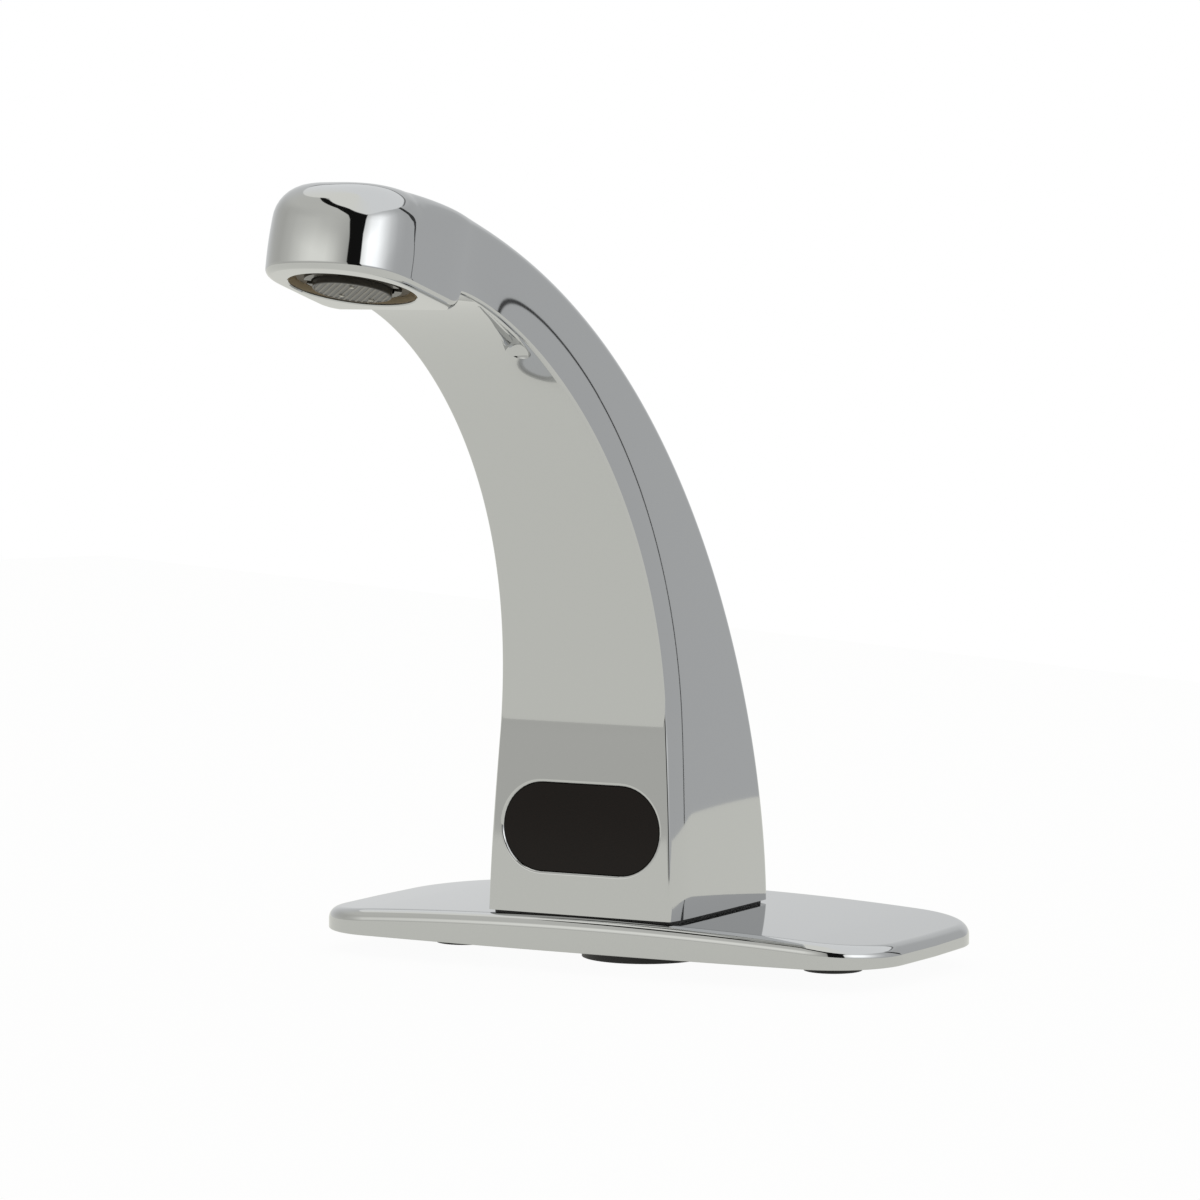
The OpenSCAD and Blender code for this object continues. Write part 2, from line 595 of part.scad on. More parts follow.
// Sensor group, in the window's frame: depths run from the body's face inwards
gasket_t = 0.9;
flange_t = 1.1;
flange_from = body_wall + gasket_t;
housing_from = flange_from + flange_t;
housing_to = housing_from + housing_depth;
housing_wall = 1.2;
housing_w = window_w - 2 * housing_wall;
housing_h = window_h + 2 * housing_wall;
module sensor_window() color([0.09, 0.07, 0.07]) at_window() {
    window_slab(window_w - 2 * seat_gap, window_h - 2 * seat_gap, window_recess, flange_from);
    window_slab(inner_w, window_h + window_lip, flange_from, housing_from);
}
module window_gasket() color([0.16, 0.16, 0.16]) at_window() difference() {
    window_slab(inner_w, window_h + window_lip, body_wall, flange_from);
    window_slab(window_w, window_h, 0, housing_from);
}
ear_t = 2;
ear_d = 6.4;
ear_from = body_wall + window_boss_h;
module sensor_housing() color([0.12, 0.12, 0.13]) at_window() difference() {
    union() {
        translate([-housing_w / 2, housing_from, -housing_h / 2])
            cube([housing_w, housing_depth, housing_h]);
        for (x = [-window_screw_x, window_screw_x]) {
            window_rod(x, window_screw_z, ear_d, ear_from, ear_from + ear_t);
            translate([x - ear_d / 2, ear_from, housing_h / 2 - housing_wall])
                cube([ear_d, ear_t, window_screw_z - housing_h / 2 + housing_wall]);
        }
    }
    // The window's own width and height stay free between the walls
    translate([-window_w / 2 + 2 * housing_wall, housing_from - cut, -window_h / 2])
        cube([window_w - 4 * housing_wall, housing_depth - housing_wall + cut, window_h]);
    for (x = [-window_screw_x, window_screw_x]) window_rod(x, window_screw_z,
        window_screw_d + 2 * seat_gap, ear_from - cut, ear_from + ear_t + cut);
}
module housing_screws() color([0.6, 0.6, 0.62]) at_window() for (x = [-window_screw_x, window_screw_x])
    translate([x, ear_from + ear_t, window_screw_z]) rotate([-90, 0, 0])
        screw(window_screw_d, window_tap_d, ear_t, window_boss_h * 0.8);
board_w = housing_w - 2 * (housing_wall + seat_gap);
board_h = housing_h - 2 * (housing_wall + seat_gap);
board_t = 1.6;
board_depth = 3.6;
board_from = housing_from + board_depth;
foot_w = 4;
module sensor_board() color([0.05, 0.3, 0.15]) at_window() {
    translate([-board_w / 2, board_from, -board_h / 2]) cube([board_w, board_t, board_h]);
    // A chip, and two blocks that rest on the housing's floor
    translate([-board_w / 8, board_from + board_t, -board_h / 6])
        cube([board_w / 4, board_t / 2, board_h / 3]);
    for (x = [-1, 1]) translate([x * board_w / 3 - foot_w / 2, board_from + board_t, -foot_w / 2])
        cube([foot_w, housing_to - housing_wall - board_from - board_t, foot_w]);
}
ir_x = window_w / 4;
ir_d = 5;
ir_flange = 0.6;
module ir_can(x) at_window() {
    window_rod(x, 0, ir_d, housing_from + free_gap, board_from);
    window_rod(x, 0, ir_d + 2 * ir_flange, board_from - ir_flange, board_from);
}
module ir_emitter() color([0.35, 0.3, 0.45]) ir_can(-ir_x);
module ir_receiver() color([0.12, 0.1, 0.16]) ir_can(ir_x);
baffle_t = 2;
module light_baffle() color([0.05, 0.05, 0.05]) at_window()
    translate([-baffle_t / 2, housing_from + fit_gap, -board_h / 2])
        cube([baffle_t, board_from - housing_from - fit_gap, board_h]);

// Valve: the inlet's stem stands behind the block, and the water comes up it to the piston's chamber
valve_y = -6;
valve_rise = 8.4;
valve_floor = 1.2;
port_r = 2.3;
port_roof = 0.8;
seat_h = 3;
piston_room = 4.4;
valve_rim = 2.5;
ear_r = 2.9;
bonnet_screw_d = 3;
bonnet_tap_d = 2.4;
bonnet_hold = 6;
valve_low = insert_top + valve_rise;
port_z = valve_low + valve_floor + port_r;
chamber_z = port_z + port_r + port_roof;
seat_z = chamber_z + seat_h;
entry_z = chamber_z + port_r + free_gap;
valve_top = seat_z + piston_room;
seat_share = 0.26;
seat_wall = 1.2;
seat_r = piston_d * seat_share;
seat_bore_r = seat_r - seat_wall;
valve_r = piston_d / 2 + valve_rim;
ear_share = 0.77;
ear_circle_r = valve_r + ear_r * ear_share;
module at_ears(z) {
    for (a = [45:90:315]) translate([0, valve_y, z]) rotate(a) translate([ear_circle_r, 0, 0])
        children();
}
module valve_outline(z, h) {
    translate([0, valve_y, z]) linear_extrude(h) {
        circle(r = valve_r);
        square(ear_circle_r * sqrt(2), center = true);
        for (a = [45:90:315]) rotate(a) translate([ear_circle_r, 0]) circle(r = ear_r);
    }
}
stem_gap = 1;
inlet_depth = 10;
filter_room = 2;
thread_room = 0.4;
cartridge_r = inlet_hole_d / 2 - thread_room;
// The check valve's cartridge is as tall as its seat, poppet, packed spring, lift and guide
check_seat_h = 1.5;
poppet_h = 1.4;
packed_spring_h = 6.6;
guide_h = 1.5;
cartridge_h = check_seat_h + poppet_h + packed_spring_h + check_lift + guide_h;
stem_low = spigot_z + stem_gap;
filter_z = stem_low + inlet_depth;
cartridge_z = filter_z + filter_room;
collar_h = 3;
collar_w = 1.5;
riser_r = 4.4;
riser_bore_r = 2.8;
hose_wall = 1;
barb_wall = 0.7;
barb_r = hose_d / 2 - hose_wall;
barb_bore_r = barb_r - barb_wall;
barb_h = 11;
outlet_boss_w = 1.2;
outlet_boss_r = barb_r + outlet_boss_w;
outlet_boss_h = 8;
outlet_gap = 0.8;
outlet_x = valve_r + outlet_boss_r + outlet_gap;
barb_z = valve_low + outlet_boss_h;
module valve_body() color([0.75, 0.62, 0.35]) difference() {
    union() {
        valve_outline(valve_low, valve_top - valve_low);
        translate([0, inlet_y, stem_low])
            cylinder(d = stem_d, h = cartridge_z + cartridge_h + stem_wall - stem_low);
        translate([0, inlet_y, insert_top]) cylinder(d = stem_d + 2 * collar_w, h = collar_h);
        translate([0, inlet_y, cartridge_z]) cylinder(r = riser_r, h = valve_top - cartridge_z);
        translate([-riser_r, valve_y, valve_low])
            cube([2 * riser_r, inlet_y - valve_y, valve_top - valve_low]);
        translate([outlet_x, valve_y, valve_low]) cylinder(r = outlet_boss_r, h = outlet_boss_h);
        translate([0, valve_y - outlet_boss_r, valve_low])
            cube([outlet_x, 2 * outlet_boss_r, chamber_z - valve_low]);
        translate([outlet_x, valve_y, barb_z]) cylinder(r = barb_r, h = barb_h);
    }
    translate([0, inlet_y, stem_low - cut]) cylinder(d = inlet_hole_d, h = inlet_depth + cut);
    translate([0, inlet_y, stem_low]) cylinder(r = cartridge_r, h = cartridge_z + cartridge_h - stem_low);
    translate([0, inlet_y, cartridge_z])
        cylinder(r = riser_bore_r, h = entry_z + port_r + free_gap - cartridge_z);
    // Passage from the riser into the ring chamber round the seat
    translate([0, inlet_y, entry_z]) rotate([90, 0, 0])
        cylinder(r = port_r, h = inlet_y - valve_y - seat_r - cut);
    translate([0, valve_y, chamber_z]) difference() {
        cylinder(d = piston_d, h = valve_top - chamber_z + cut);
        cylinder(r = seat_r, h = seat_h);
    }
    // Passage from the seat to the outlet's barb
    translate([0, valve_y, port_z]) cylinder(r = seat_bore_r, h = seat_z - port_z + cut);
    translate([0, valve_y, port_z]) rotate([0, 90, 0]) cylinder(r = port_r, h = outlet_x);
    translate([outlet_x, valve_y, port_z]) cylinder(r = barb_bore_r, h = barb_z + barb_h - port_z + cut);
    at_ears(valve_top - bonnet_hold) cylinder(d = bonnet_tap_d, h = bonnet_hold + cut);
}
mesh_t = 0.4;
mesh_pitch = 1.2;
mesh_hole_d = 0.8;
module filter_screen() color([0.7, 0.7, 0.72]) translate([0, inlet_y, filter_z]) difference() {
    cylinder(r = cartridge_r - fit_gap, h = filter_room);
    translate([0, 0, mesh_t]) cylinder(r = cartridge_r - 2 * mesh_t, h = filter_room);
    for (x = [-2:2]) for (y = [-2:2]) if (norm([x, y]) < 2.5)
        translate([x * mesh_pitch, y * mesh_pitch, -cut])
            cylinder(d = mesh_hole_d, h = mesh_t + 2 * cut, $fn = 16);
}
cartridge_wall = 0.8;
check_bore_r = cartridge_r - cartridge_wall;
check_seat_w = 0.6;
guide_rib = 0.8;
guide_hub_r = 1.7;
poppet_room = 0.8;
poppet_r = check_bore_r - poppet_room;
poppet_stem_r = 0.8;
poppet_z = cartridge_z + check_seat_h;
guide_z = cartridge_z + cartridge_h - guide_h;
module check_cartridge() color([0.85, 0.85, 0.8]) translate([0, inlet_y, 0]) difference() {
    translate([0, 0, cartridge_z]) cylinder(r = cartridge_r - fit_gap, h = cartridge_h);
    translate([0, 0, cartridge_z - cut]) cylinder(r = poppet_r - check_seat_w, h = check_seat_h + 2 * cut);
    translate([0, 0, poppet_z]) cylinder(r = check_bore_r, h = guide_z - poppet_z);
    // The guide is a hub on four ribs
    translate([0, 0, guide_z - cut]) difference() {
        cylinder(r = check_bore_r, h = guide_h + 2 * cut);
        translate([0, 0, -cut]) cylinder(r = guide_hub_r, h = guide_h + 4 * cut);
        for (a = [0, 90]) rotate(a) translate([-cartridge_r, -guide_rib / 2, -cut])
            cube([2 * cartridge_r, guide_rib, guide_h + 4 * cut]);
    }
    translate([0, 0, guide_z - cut]) cylinder(r = poppet_stem_r + fit_gap, h = guide_h + 2 * cut);
}
module check_poppet() color([0.3, 0.3, 0.32]) translate([0, inlet_y, poppet_z + fit_gap]) {
    cylinder(r = poppet_r, h = poppet_h);
    cylinder(r = poppet_stem_r, h = guide_z + guide_h / 2 - poppet_z);
}
spring_wire = 0.5;
check_spring_turns = 5;
module check_spring() color([0.6, 0.6, 0.62]) translate([0, inlet_y, poppet_z + poppet_h + 2 * fit_gap])
    coil_spring(2 * (poppet_r - fit_gap), spring_wire, guide_z - poppet_z - poppet_h - 3 * fit_gap,
        check_spring_turns);

piston_h = 4;
nozzle_h = 1.5;
nozzle_r = 1.5;
pilot_d = 1;
ring_h = 1.2;
ring_w = 1.5;
piston_z = seat_z + fit_gap;
module valve_piston() color([0.9, 0.9, 0.88]) translate([0, valve_y, piston_z]) difference() {
    union() {
        cylinder(d = piston_d - 4 * seat_gap, h = piston_h);
        cylinder(r = nozzle_r, h = piston_h + nozzle_h);
    }
    translate([0, 0, (piston_h - ring_h) / 2]) difference() {
        cylinder(d = piston_d, h = ring_h);
        cylinder(d = piston_d - 2 * ring_w, h = ring_h);
    }
    translate([0, 0, -cut]) cylinder(d = pilot_d, h = piston_h + nozzle_h + 2 * cut, $fn = 24);
}
module piston_seal() color([0.08, 0.08, 0.08])
    translate([0, valve_y, piston_z + (piston_h - ring_h) / 2 + fit_gap]) difference() {
        cylinder(d = piston_d - 2 * fit_gap, h = ring_h - 2 * fit_gap);
        translate([0, 0, -cut]) cylinder(d = piston_d - 2 * ring_w + 2 * fit_gap, h = ring_h + 2 * cut);
    }
bonnet_h = 5.4;
bonnet_recess = 2.2;
tube_wall = 1;
tube_r = plunger_d / 2 + tube_wall;
tube_flange_w = 1.6;
tube_flange_r = tube_r + tube_flange_w;
tube_flange_h = 1.4;
tube_z = valve_top + bonnet_recess;
module valve_bonnet() color([0.75, 0.62, 0.35]) difference() {
    valve_outline(valve_top, bonnet_h);
    translate([0, valve_y, valve_top]) {
        translate([0, 0, -cut]) cylinder(d = piston_d, h = bonnet_recess + cut);
        cylinder(r = tube_flange_r + fit_gap, h = bonnet_recess + tube_flange_h + fit_gap);
        cylinder(r = tube_r + fit_gap, h = bonnet_h + cut);
    }
    at_ears(valve_top - cut) cylinder(d = bonnet_screw_d + 2 * seat_gap, h = bonnet_h + 2 * cut);
}
module bonnet_screws() color([0.6, 0.6, 0.62]) at_ears(valve_top + bonnet_h)
    screw(bonnet_screw_d, bonnet_tap_d, bonnet_h, bonnet_hold * 0.9);
yoke_t = 1.1;
coil_h = 18;
nut_h = 3;
nut_w = 2.2;
nut_r = tube_r + nut_w;
tube_cap = 4;
coil_z = valve_top + bonnet_h + yoke_t;
nut_z = coil_z + coil_h + yoke_t;
tube_top = nut_z + nut_h;
tube_roof = tube_top - tube_cap;
module core_tube() color([0.75, 0.75, 0.77]) translate([0, valve_y, tube_z]) difference() {
    union() {
        cylinder(r = tube_r, h = tube_top - tube_z);
        cylinder(r = tube_flange_r, h = tube_flange_h);
    }
    translate([0, 0, -cut]) cylinder(d = plunger_d, h = tube_roof - tube_z + cut);
}
tip_r = 2;
tip_h = 1.6;
tip_z = piston_z + piston_h + nozzle_h + fit_gap;
plunger_z = tip_z + tip_h / 2;
plunger_top = tube_roof - plunger_lift - seat_gap;
spring_seat_share = 0.3;
spring_seat_r = plunger_d * spring_seat_share;
spring_seat_h = 8;
plunger_spring_turns = 6;
module plunger() color([0.5, 0.5, 0.52]) translate([0, valve_y, 0]) difference() {
    translate([0, 0, plunger_z]) cylinder(d = plunger_d - 2 * fit_gap, h = plunger_top - plunger_z);
    translate([0, 0, plunger_z - cut]) cylinder(r = tip_r, h = tip_h / 2 + cut);
    translate([0, 0, plunger_top - spring_seat_h]) cylinder(r = spring_seat_r, h = spring_seat_h + cut);
}
module plunger_seal() color([0.1, 0.1, 0.1]) translate([0, valve_y, tip_z])
    cylinder(r = tip_r, h = tip_h);
module plunger_spring() color([0.7, 0.7, 0.72])
    translate([0, valve_y, plunger_top - spring_seat_h + fit_gap])
        coil_spring(2 * (spring_seat_r - seat_gap), spring_wire,
            tube_roof - plunger_top + spring_seat_h - 2 * fit_gap, plunger_spring_turns);
terminal_w = 7;
terminal_h = 6;
terminal_t = 1.6;
module coil() color([0.1, 0.1, 0.12]) translate([0, valve_y, coil_z]) difference() {
    union() {
        cylinder(d = coil_d, h = coil_h);
        translate([-terminal_w / 2, -coil_d / 2 - terminal_t, coil_h / 6])
            cube([terminal_w, coil_d / 2 + terminal_t, terminal_h]);
    }
    translate([0, 0, -cut]) cylinder(r = tube_r + fit_gap, h = coil_h + 2 * cut);
}
yoke_w_share = 0.58;
module coil_yoke() color([0.55, 0.56, 0.58]) {
    yoke_w = coil_d * yoke_w_share;
    left = -coil_d / 2 - seat_gap - yoke_t;
    translate([0, valve_y, coil_z - yoke_t]) difference() {
        union() {
            for (z = [0, coil_h + yoke_t]) translate([left, -yoke_w / 2, z])
                cube([coil_d / 2 - left, yoke_w, yoke_t]);
            translate([left, -yoke_w / 2, 0]) cube([yoke_t, yoke_w, coil_h + 2 * yoke_t]);
        }
        translate([0, 0, -cut]) cylinder(r = tube_r + fit_gap, h = coil_h + 2 * yoke_t + 2 * cut);
    }
}
module coil_nut() color([0.8, 0.8, 0.82]) translate([0, valve_y, nut_z]) difference() {
    cylinder(r = nut_r, h = nut_h, $fn = 6);
    translate([0, 0, -cut]) cylinder(r = tube_r + fit_gap, h = nut_h + 2 * cut);
}

// Leads: from the socket to the sensor's housing, and from the coil to the same housing
lead_d = 2.6;
lead_z = window_z - housing_h / 2 + housing_wall + lead_d / 2;
lead_bend = 4;
housing_back_y = face_y + housing_to * cos(lean);
module sensor_lead() color([0.1, 0.1, 0.1]) difference() {
    turn = [[0, socket_y, socket_top + seat_gap], [0, socket_y, socket_top + 0.6 * lead_bend],
        [0, socket_y, lead_z], [0, socket_y - lead_bend, lead_z]];
    swept_tube(concat([for (i = [0:6]) bezier(turn, i / 6)],
        [[0, housing_back_y - housing_wall, lead_z]]), lead_d);
    at_window() translate([-housing_w / 2, 0, -housing_h])
        cube([housing_w, housing_to, 2 * housing_h]);
}
coil_lead_d = 2;
terminal_y = valve_y - coil_d / 2 - terminal_t;
terminal_z = coil_z + coil_h / 6 + terminal_h / 2;
housing_top_z = window_z + housing_h / 2;
module coil_lead() color([0.6, 0.1, 0.08]) difference() {
    drop_y = face_y + housing_to - housing_wall - coil_lead_d / 2;
    turn = [[0, terminal_y - seat_gap, terminal_z], [0, drop_y, terminal_z],
        [0, drop_y, terminal_z], [0, drop_y, housing_top_z + coil_lead_d / 2]];
    swept_tube(concat([for (i = [0:6]) bezier(turn, i / 6)],
        [[0, drop_y, housing_top_z - housing_wall]]), coil_lead_d, 8);
    at_window() translate([-housing_w / 2, 0, -housing_h / 2]) cube([housing_w, 2 * housing_to, housing_h]);
}

// Hose: it climbs beside the solenoid, then follows the middle of the arch into the head
elbow_r = 4.4;
elbow_z = (pocket_low + pocket_high) / 2;
elbow_leg = 9;
hose_straight = 14;
arch_middle_share = 0.52;
hose_join_share = 0.42;
hose_leave_share = 0.85;
look_share = 0.02;
function arch_mid(t) = let (m = mix(front_at(t), back_at(t), arch_middle_share)) [0, m[0], m[1]];
function outlet_space(back, up) = let (p = head_point(-back, up)) [0, p[0], p[1]];
module hose_bores(wall) {
    translate([outlet_x, valve_y, barb_z - cut]) cylinder(r = barb_r + wall, h = barb_h + cut + wall);
    at_outlet() translate([0, 0, elbow_z]) rotate([-90, 0, 0])
        cylinder(r = barb_r + wall, h = elbow_r + elbow_leg + wall);
}
module riser_hose() color([0.85, 0.85, 0.86]) {
    low = [outlet_x, valve_y, barb_z];
    up = [0, 0, tube_top - barb_z - hose_straight / 2];
    join = arch_mid(hose_join_share);
    join_dir = unit(arch_mid(hose_join_share + look_share) - join);
    leave = arch_mid(hose_leave_share);
    leave_dir = unit(leave - arch_mid(hose_leave_share - look_share));
    tip = outlet_space(elbow_r + seat_gap, elbow_z);
    back = outlet_space(elbow_r + hose_straight, elbow_z);
    bend = hose_straight * 1.3;
    first_turn = [low + up, low + up + [0, 0, bend], join - join_dir * bend, join];
    last_turn = [leave, leave + leave_dir * hose_straight / 2,
        back - unit(tip - back) * hose_straight / 2, back];
    difference() {
        swept_tube(concat([low, low + up / 2], [for (i = [0:8]) bezier(first_turn, i / 8)],
            [for (i = [1:9]) arch_mid(mix(hose_join_share, hose_leave_share, i / 9))],
            [for (i = [1:5]) bezier(last_turn, i / 5)], [mix(back, tip, 0.5), tip]), hose_d, 12);
        hose_bores(fit_gap);
    }
}
ferrule_h = 6;
ferrule_t = 0.5;
module ferrule() difference() {
    cylinder(d = hose_d + 2 * ferrule_t, h = ferrule_h);
    translate([0, 0, -cut]) cylinder(d = hose_d, h = ferrule_h + 2 * cut);
}
module hose_ferrules() color([0.72, 0.58, 0.3]) {
    translate([outlet_x, valve_y, barb_z + ferrule_t]) ferrule();
    at_outlet() translate([0, elbow_r + ferrule_t, elbow_z]) rotate([-90, 0, 0]) ferrule();
}

// Outlet group, in the outlet's frame: +Z runs up into the head
adapter_step = 0.6;
adapter_deck = 1.7;
washer_h = 0.9;
adapter_low = aerator_recess + adapter_step;
adapter_top = thread_depth - washer_h;
tail_r = 4;
tail_gap = 0.1;
oring_w = 0.7;
oring_h = 0.9;
oring_z = adapter_top - adapter_deck / 2 - oring_h / 2;
elbow_top_gap = 0.3;
module outlet_elbow() color([0.75, 0.62, 0.35]) at_outlet() difference() {
    union() {
        translate([0, 0, adapter_top - adapter_deck])
            cylinder(r = tail_r, h = elbow_z - adapter_top + adapter_deck);
        translate([0, 0, adapter_top]) cylinder(r = elbow_r, h = pocket_high - elbow_top_gap - adapter_top);
        translate([0, 0, elbow_z]) rotate([-90, 0, 0]) cylinder(r = barb_r, h = elbow_r + elbow_leg);
    }
    translate([0, 0, adapter_top - adapter_deck - cut])
        cylinder(r = barb_r, h = elbow_z - adapter_top + adapter_deck + cut);
    translate([0, 0, elbow_z]) rotate([-90, 0, 0]) cylinder(r = barb_bore_r, h = elbow_r + elbow_leg + cut);
    translate([0, 0, oring_z]) difference() {
        cylinder(r = elbow_r, h = oring_h);
        cylinder(r = tail_r - oring_w, h = oring_h);
    }
}
module elbow_oring() color([0.08, 0.08, 0.08]) at_outlet() translate([0, 0, oring_z + fit_gap])
    difference() {
        cylinder(r = tail_r + tail_gap - fit_gap, h = oring_h - 2 * fit_gap);
        translate([0, 0, -cut]) cylinder(r = tail_r - oring_w + fit_gap, h = oring_h + 2 * cut);
    }
module outlet_adapter() color([0.72, 0.58, 0.3]) at_outlet() difference() {
    translate([0, 0, adapter_low]) cylinder(d = thread_d - 2 * fit_gap, h = adapter_top - adapter_low);
    cylinder(d = aerator_d, h = adapter_top - adapter_deck);
    cylinder(r = tail_r + tail_gap, h = adapter_top + cut);
}
module adapter_washer() color([0.15, 0.15, 0.15]) at_outlet() translate([0, 0, adapter_top]) difference() {
    cylinder(d = thread_d - 2 * seat_gap, h = washer_h);
    translate([0, 0, -cut]) cylinder(r = pocket_r + seat_gap, h = washer_h + 2 * cut);
}
rim_w = 1.6;
key_w = 3;
key_h = 1.6;
key_turn = 20;
aerator_top = adapter_top - adapter_deck - washer_h;
screen_t = 0.4;
insert_d = aerator_d - 2 * rim_w - 2 * fit_gap;
insert_step = 0.7;
insert_low = aerator_recess + insert_step;
insert_high = aerator_top - screen_t - fit_gap;
module aerator_housing() color([0.6, 0.6, 0.6]) at_outlet() difference() {
    translate([0, 0, aerator_recess])
        cylinder(d = aerator_d - 2 * fit_gap, h = aerator_top - aerator_recess);
    cylinder(d = aerator_d - 2 * rim_w, h = aerator_top + cut);
    for (a = [0:90:270]) rotate(a + key_turn) translate([aerator_d / 2 - 2 * rim_w, -key_w / 2, 0])
        cube([2 * rim_w + cut, key_w, aerator_recess + key_h]);
}
rib_w = 0.7;
rib_pitch = 1.7;
rib_turn = 35;
rib_depth = 1.2;
face_rim = 1.2;
slot_count = 4;
screen_pitch = 2.1;
module aerator_insert() color([0.2, 0.19, 0.17]) at_outlet() difference() {
    translate([0, 0, insert_low]) cylinder(d = insert_d, h = insert_high - insert_low);
    translate([0, 0, insert_low + 2 * rib_depth]) cylinder(r = insert_d / 2 - face_rim, h = aerator_top);
    rotate(rib_turn) {
        // Slots between the parallel ribs of its face
        for (i = [-slot_count:slot_count]) {
            slot_l = 2 * sqrt(pow(insert_d / 2 - face_rim, 2) - pow(abs(i) * rib_pitch + rib_w / 2, 2));
            translate([i * rib_pitch - (rib_pitch - rib_w) / 2, -slot_l / 2, 0])
                cube([rib_pitch - rib_w, slot_l, insert_low + rib_depth]);
        }
        for (i = [-1, 0, 1]) translate([(2 * i - 0.5) * rib_pitch, (i - 0.5) * rib_pitch, 0])
            cube([rib_pitch, rib_pitch, insert_high]);
    }
}
module aerator_screen() color([0.7, 0.7, 0.72]) at_outlet() translate([0, 0, insert_high + fit_gap])
    difference() {
        cylinder(d = insert_d, h = screen_t);
        for (x = [-3:3]) for (y = [-3:3]) if (norm([x, y]) < 3.7)
            translate([x * screen_pitch, y * screen_pitch, -cut])
                cylinder(r = screen_pitch / 3, h = screen_t + 2 * cut, $fn = 16);
    }
module aerator_washer() color([0.1, 0.1, 0.1]) at_outlet() translate([0, 0, aerator_top]) difference() {
    cylinder(d = aerator_d - 4 * seat_gap, h = washer_h);
    translate([0, 0, -cut]) cylinder(d = aerator_d - 4 * rim_w, h = washer_h + 2 * cut);
}

spout_casting();
cover_plate();
body_gasket();
plate_gasket();
locating_plugs();
plug_screws();
base_insert();
stud_inserts();
base_screws();
power_socket();
socket_pins();
sensor_window();
window_gasket();
sensor_housing();
housing_screws();
sensor_board();
ir_emitter();
ir_receiver();
light_baffle();
valve_body();
filter_screen();
check_cartridge();
check_poppet();
check_spring();
valve_piston();
piston_seal();
valve_bonnet();
bonnet_screws();
core_tube();
plunger();
plunger_seal();
plunger_spring();
coil();
coil_yoke();
coil_nut();
sensor_lead();
coil_lead();
riser_hose();
hose_ferrules();
outlet_elbow();
elbow_oring();
outlet_adapter();
adapter_washer();
aerator_housing();
aerator_insert();
aerator_screen();
aerator_washer();
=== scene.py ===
import json
from math import asin, atan, cos, degrees, hypot, pi, radians, sin, sqrt, tan

import bmesh
import bpy
from mathutils import Matrix, Vector


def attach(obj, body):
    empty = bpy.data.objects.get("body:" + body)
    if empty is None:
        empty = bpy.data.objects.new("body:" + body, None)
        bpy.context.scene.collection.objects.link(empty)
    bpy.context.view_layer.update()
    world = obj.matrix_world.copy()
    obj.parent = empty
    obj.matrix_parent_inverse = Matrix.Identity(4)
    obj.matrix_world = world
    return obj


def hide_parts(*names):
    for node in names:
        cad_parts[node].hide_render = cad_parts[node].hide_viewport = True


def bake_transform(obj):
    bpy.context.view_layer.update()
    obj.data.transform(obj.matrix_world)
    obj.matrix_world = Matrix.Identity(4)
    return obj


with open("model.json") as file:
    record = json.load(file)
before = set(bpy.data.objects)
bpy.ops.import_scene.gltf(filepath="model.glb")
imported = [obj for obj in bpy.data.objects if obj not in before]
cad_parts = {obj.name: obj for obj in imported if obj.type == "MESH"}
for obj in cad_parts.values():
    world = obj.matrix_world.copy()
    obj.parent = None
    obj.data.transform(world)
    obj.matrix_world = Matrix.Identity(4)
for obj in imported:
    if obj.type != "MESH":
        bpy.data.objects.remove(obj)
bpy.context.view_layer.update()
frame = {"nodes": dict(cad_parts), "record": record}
nodes = frame["nodes"]


# The view
# The tap is seen from ahead and from its right, at about the height of its outlet, through a long lens.
# The place is in metres and the angles are in degrees.
view_place = (0.57404, -1.0595, 0.16611)
view_turn = 28.97
view_pitch = 4.02
view_lens = 150.03
sensor_width = 36
camera = bpy.data.cameras.new("camera")
camera.sensor_width = sensor_width
camera.lens = view_lens
viewer = bpy.data.objects.new("camera", camera)
viewer.location = view_place
viewer.rotation_euler = (radians(90 - view_pitch), 0, radians(view_turn))
bpy.context.scene.collection.objects.link(viewer)
bpy.context.scene.camera = viewer


# Spout casting
# One hollow brass casting makes the body, the arch and the head. It is ground, polished and chrome
# plated, so its long faces are true and its front edges nearly sharp. All its sizes are in millimetres.
mm = 0.001
body_z = 8.55
body_width = 50.4
body_front = 33.3
body_back = 16.8
body_wall = 2.6
hollow_edge_r = 0.3
front_edge_r = 0.9
back_edge_r = 2.7
side_swell = 0.12
roll = 0.7
roll_run = 8
roll_out_share = 0.3
roll_fade_power = 6
head_swell = 0.15
foot_height = 42.5
foot_lean = 2
foot_share = 0.2
reach = 133.7
outlet_z = 157.1
outlet_tilt = radians(15)
head_half = 17.15
head_height = 21.6
nose_reach = 19.6
pad_back = 17.7
pad_step = 3.8
pad_step_run = 0.6
pad_corner_r = 5
rim_edge_r = 1.6
nose_edge_r = 9.5
nose_drop = 0.5
nose_start_share = 0.15
nose_start = nose_reach * nose_start_share
nose_power = 2.3
neck_edge_share = 0.26
shoulder_edge_share = 0.8
shoulder_power = 2.5
soften_share = 0.6
back_lead_share = 0.65
width_shares = (1, 0.965, 0.115, 0.255, -0.325, -0.05)
neck_run = 8
neck_in = 0.4
# How the arch's two faces leave their ends, as shares of the foot's height, the reach and the rise
front_lead_share = 1.55
front_end_shares = (0.216, -0.025)
back_start_shares = (-0.011, 0.52)
back_end_share = 0.609
reach_tilt = Vector((-cos(outlet_tilt), sin(outlet_tilt)))
head_up = Vector((sin(outlet_tilt), cos(outlet_tilt)))
rise = outlet_z - body_z


def mix(a, b, share):
    return a + (b - a) * share


def bezier(points, t):
    while len(points) > 1:
        points = [mix(p, q, t) for p, q in zip(points, points[1:])]
    return points[0]


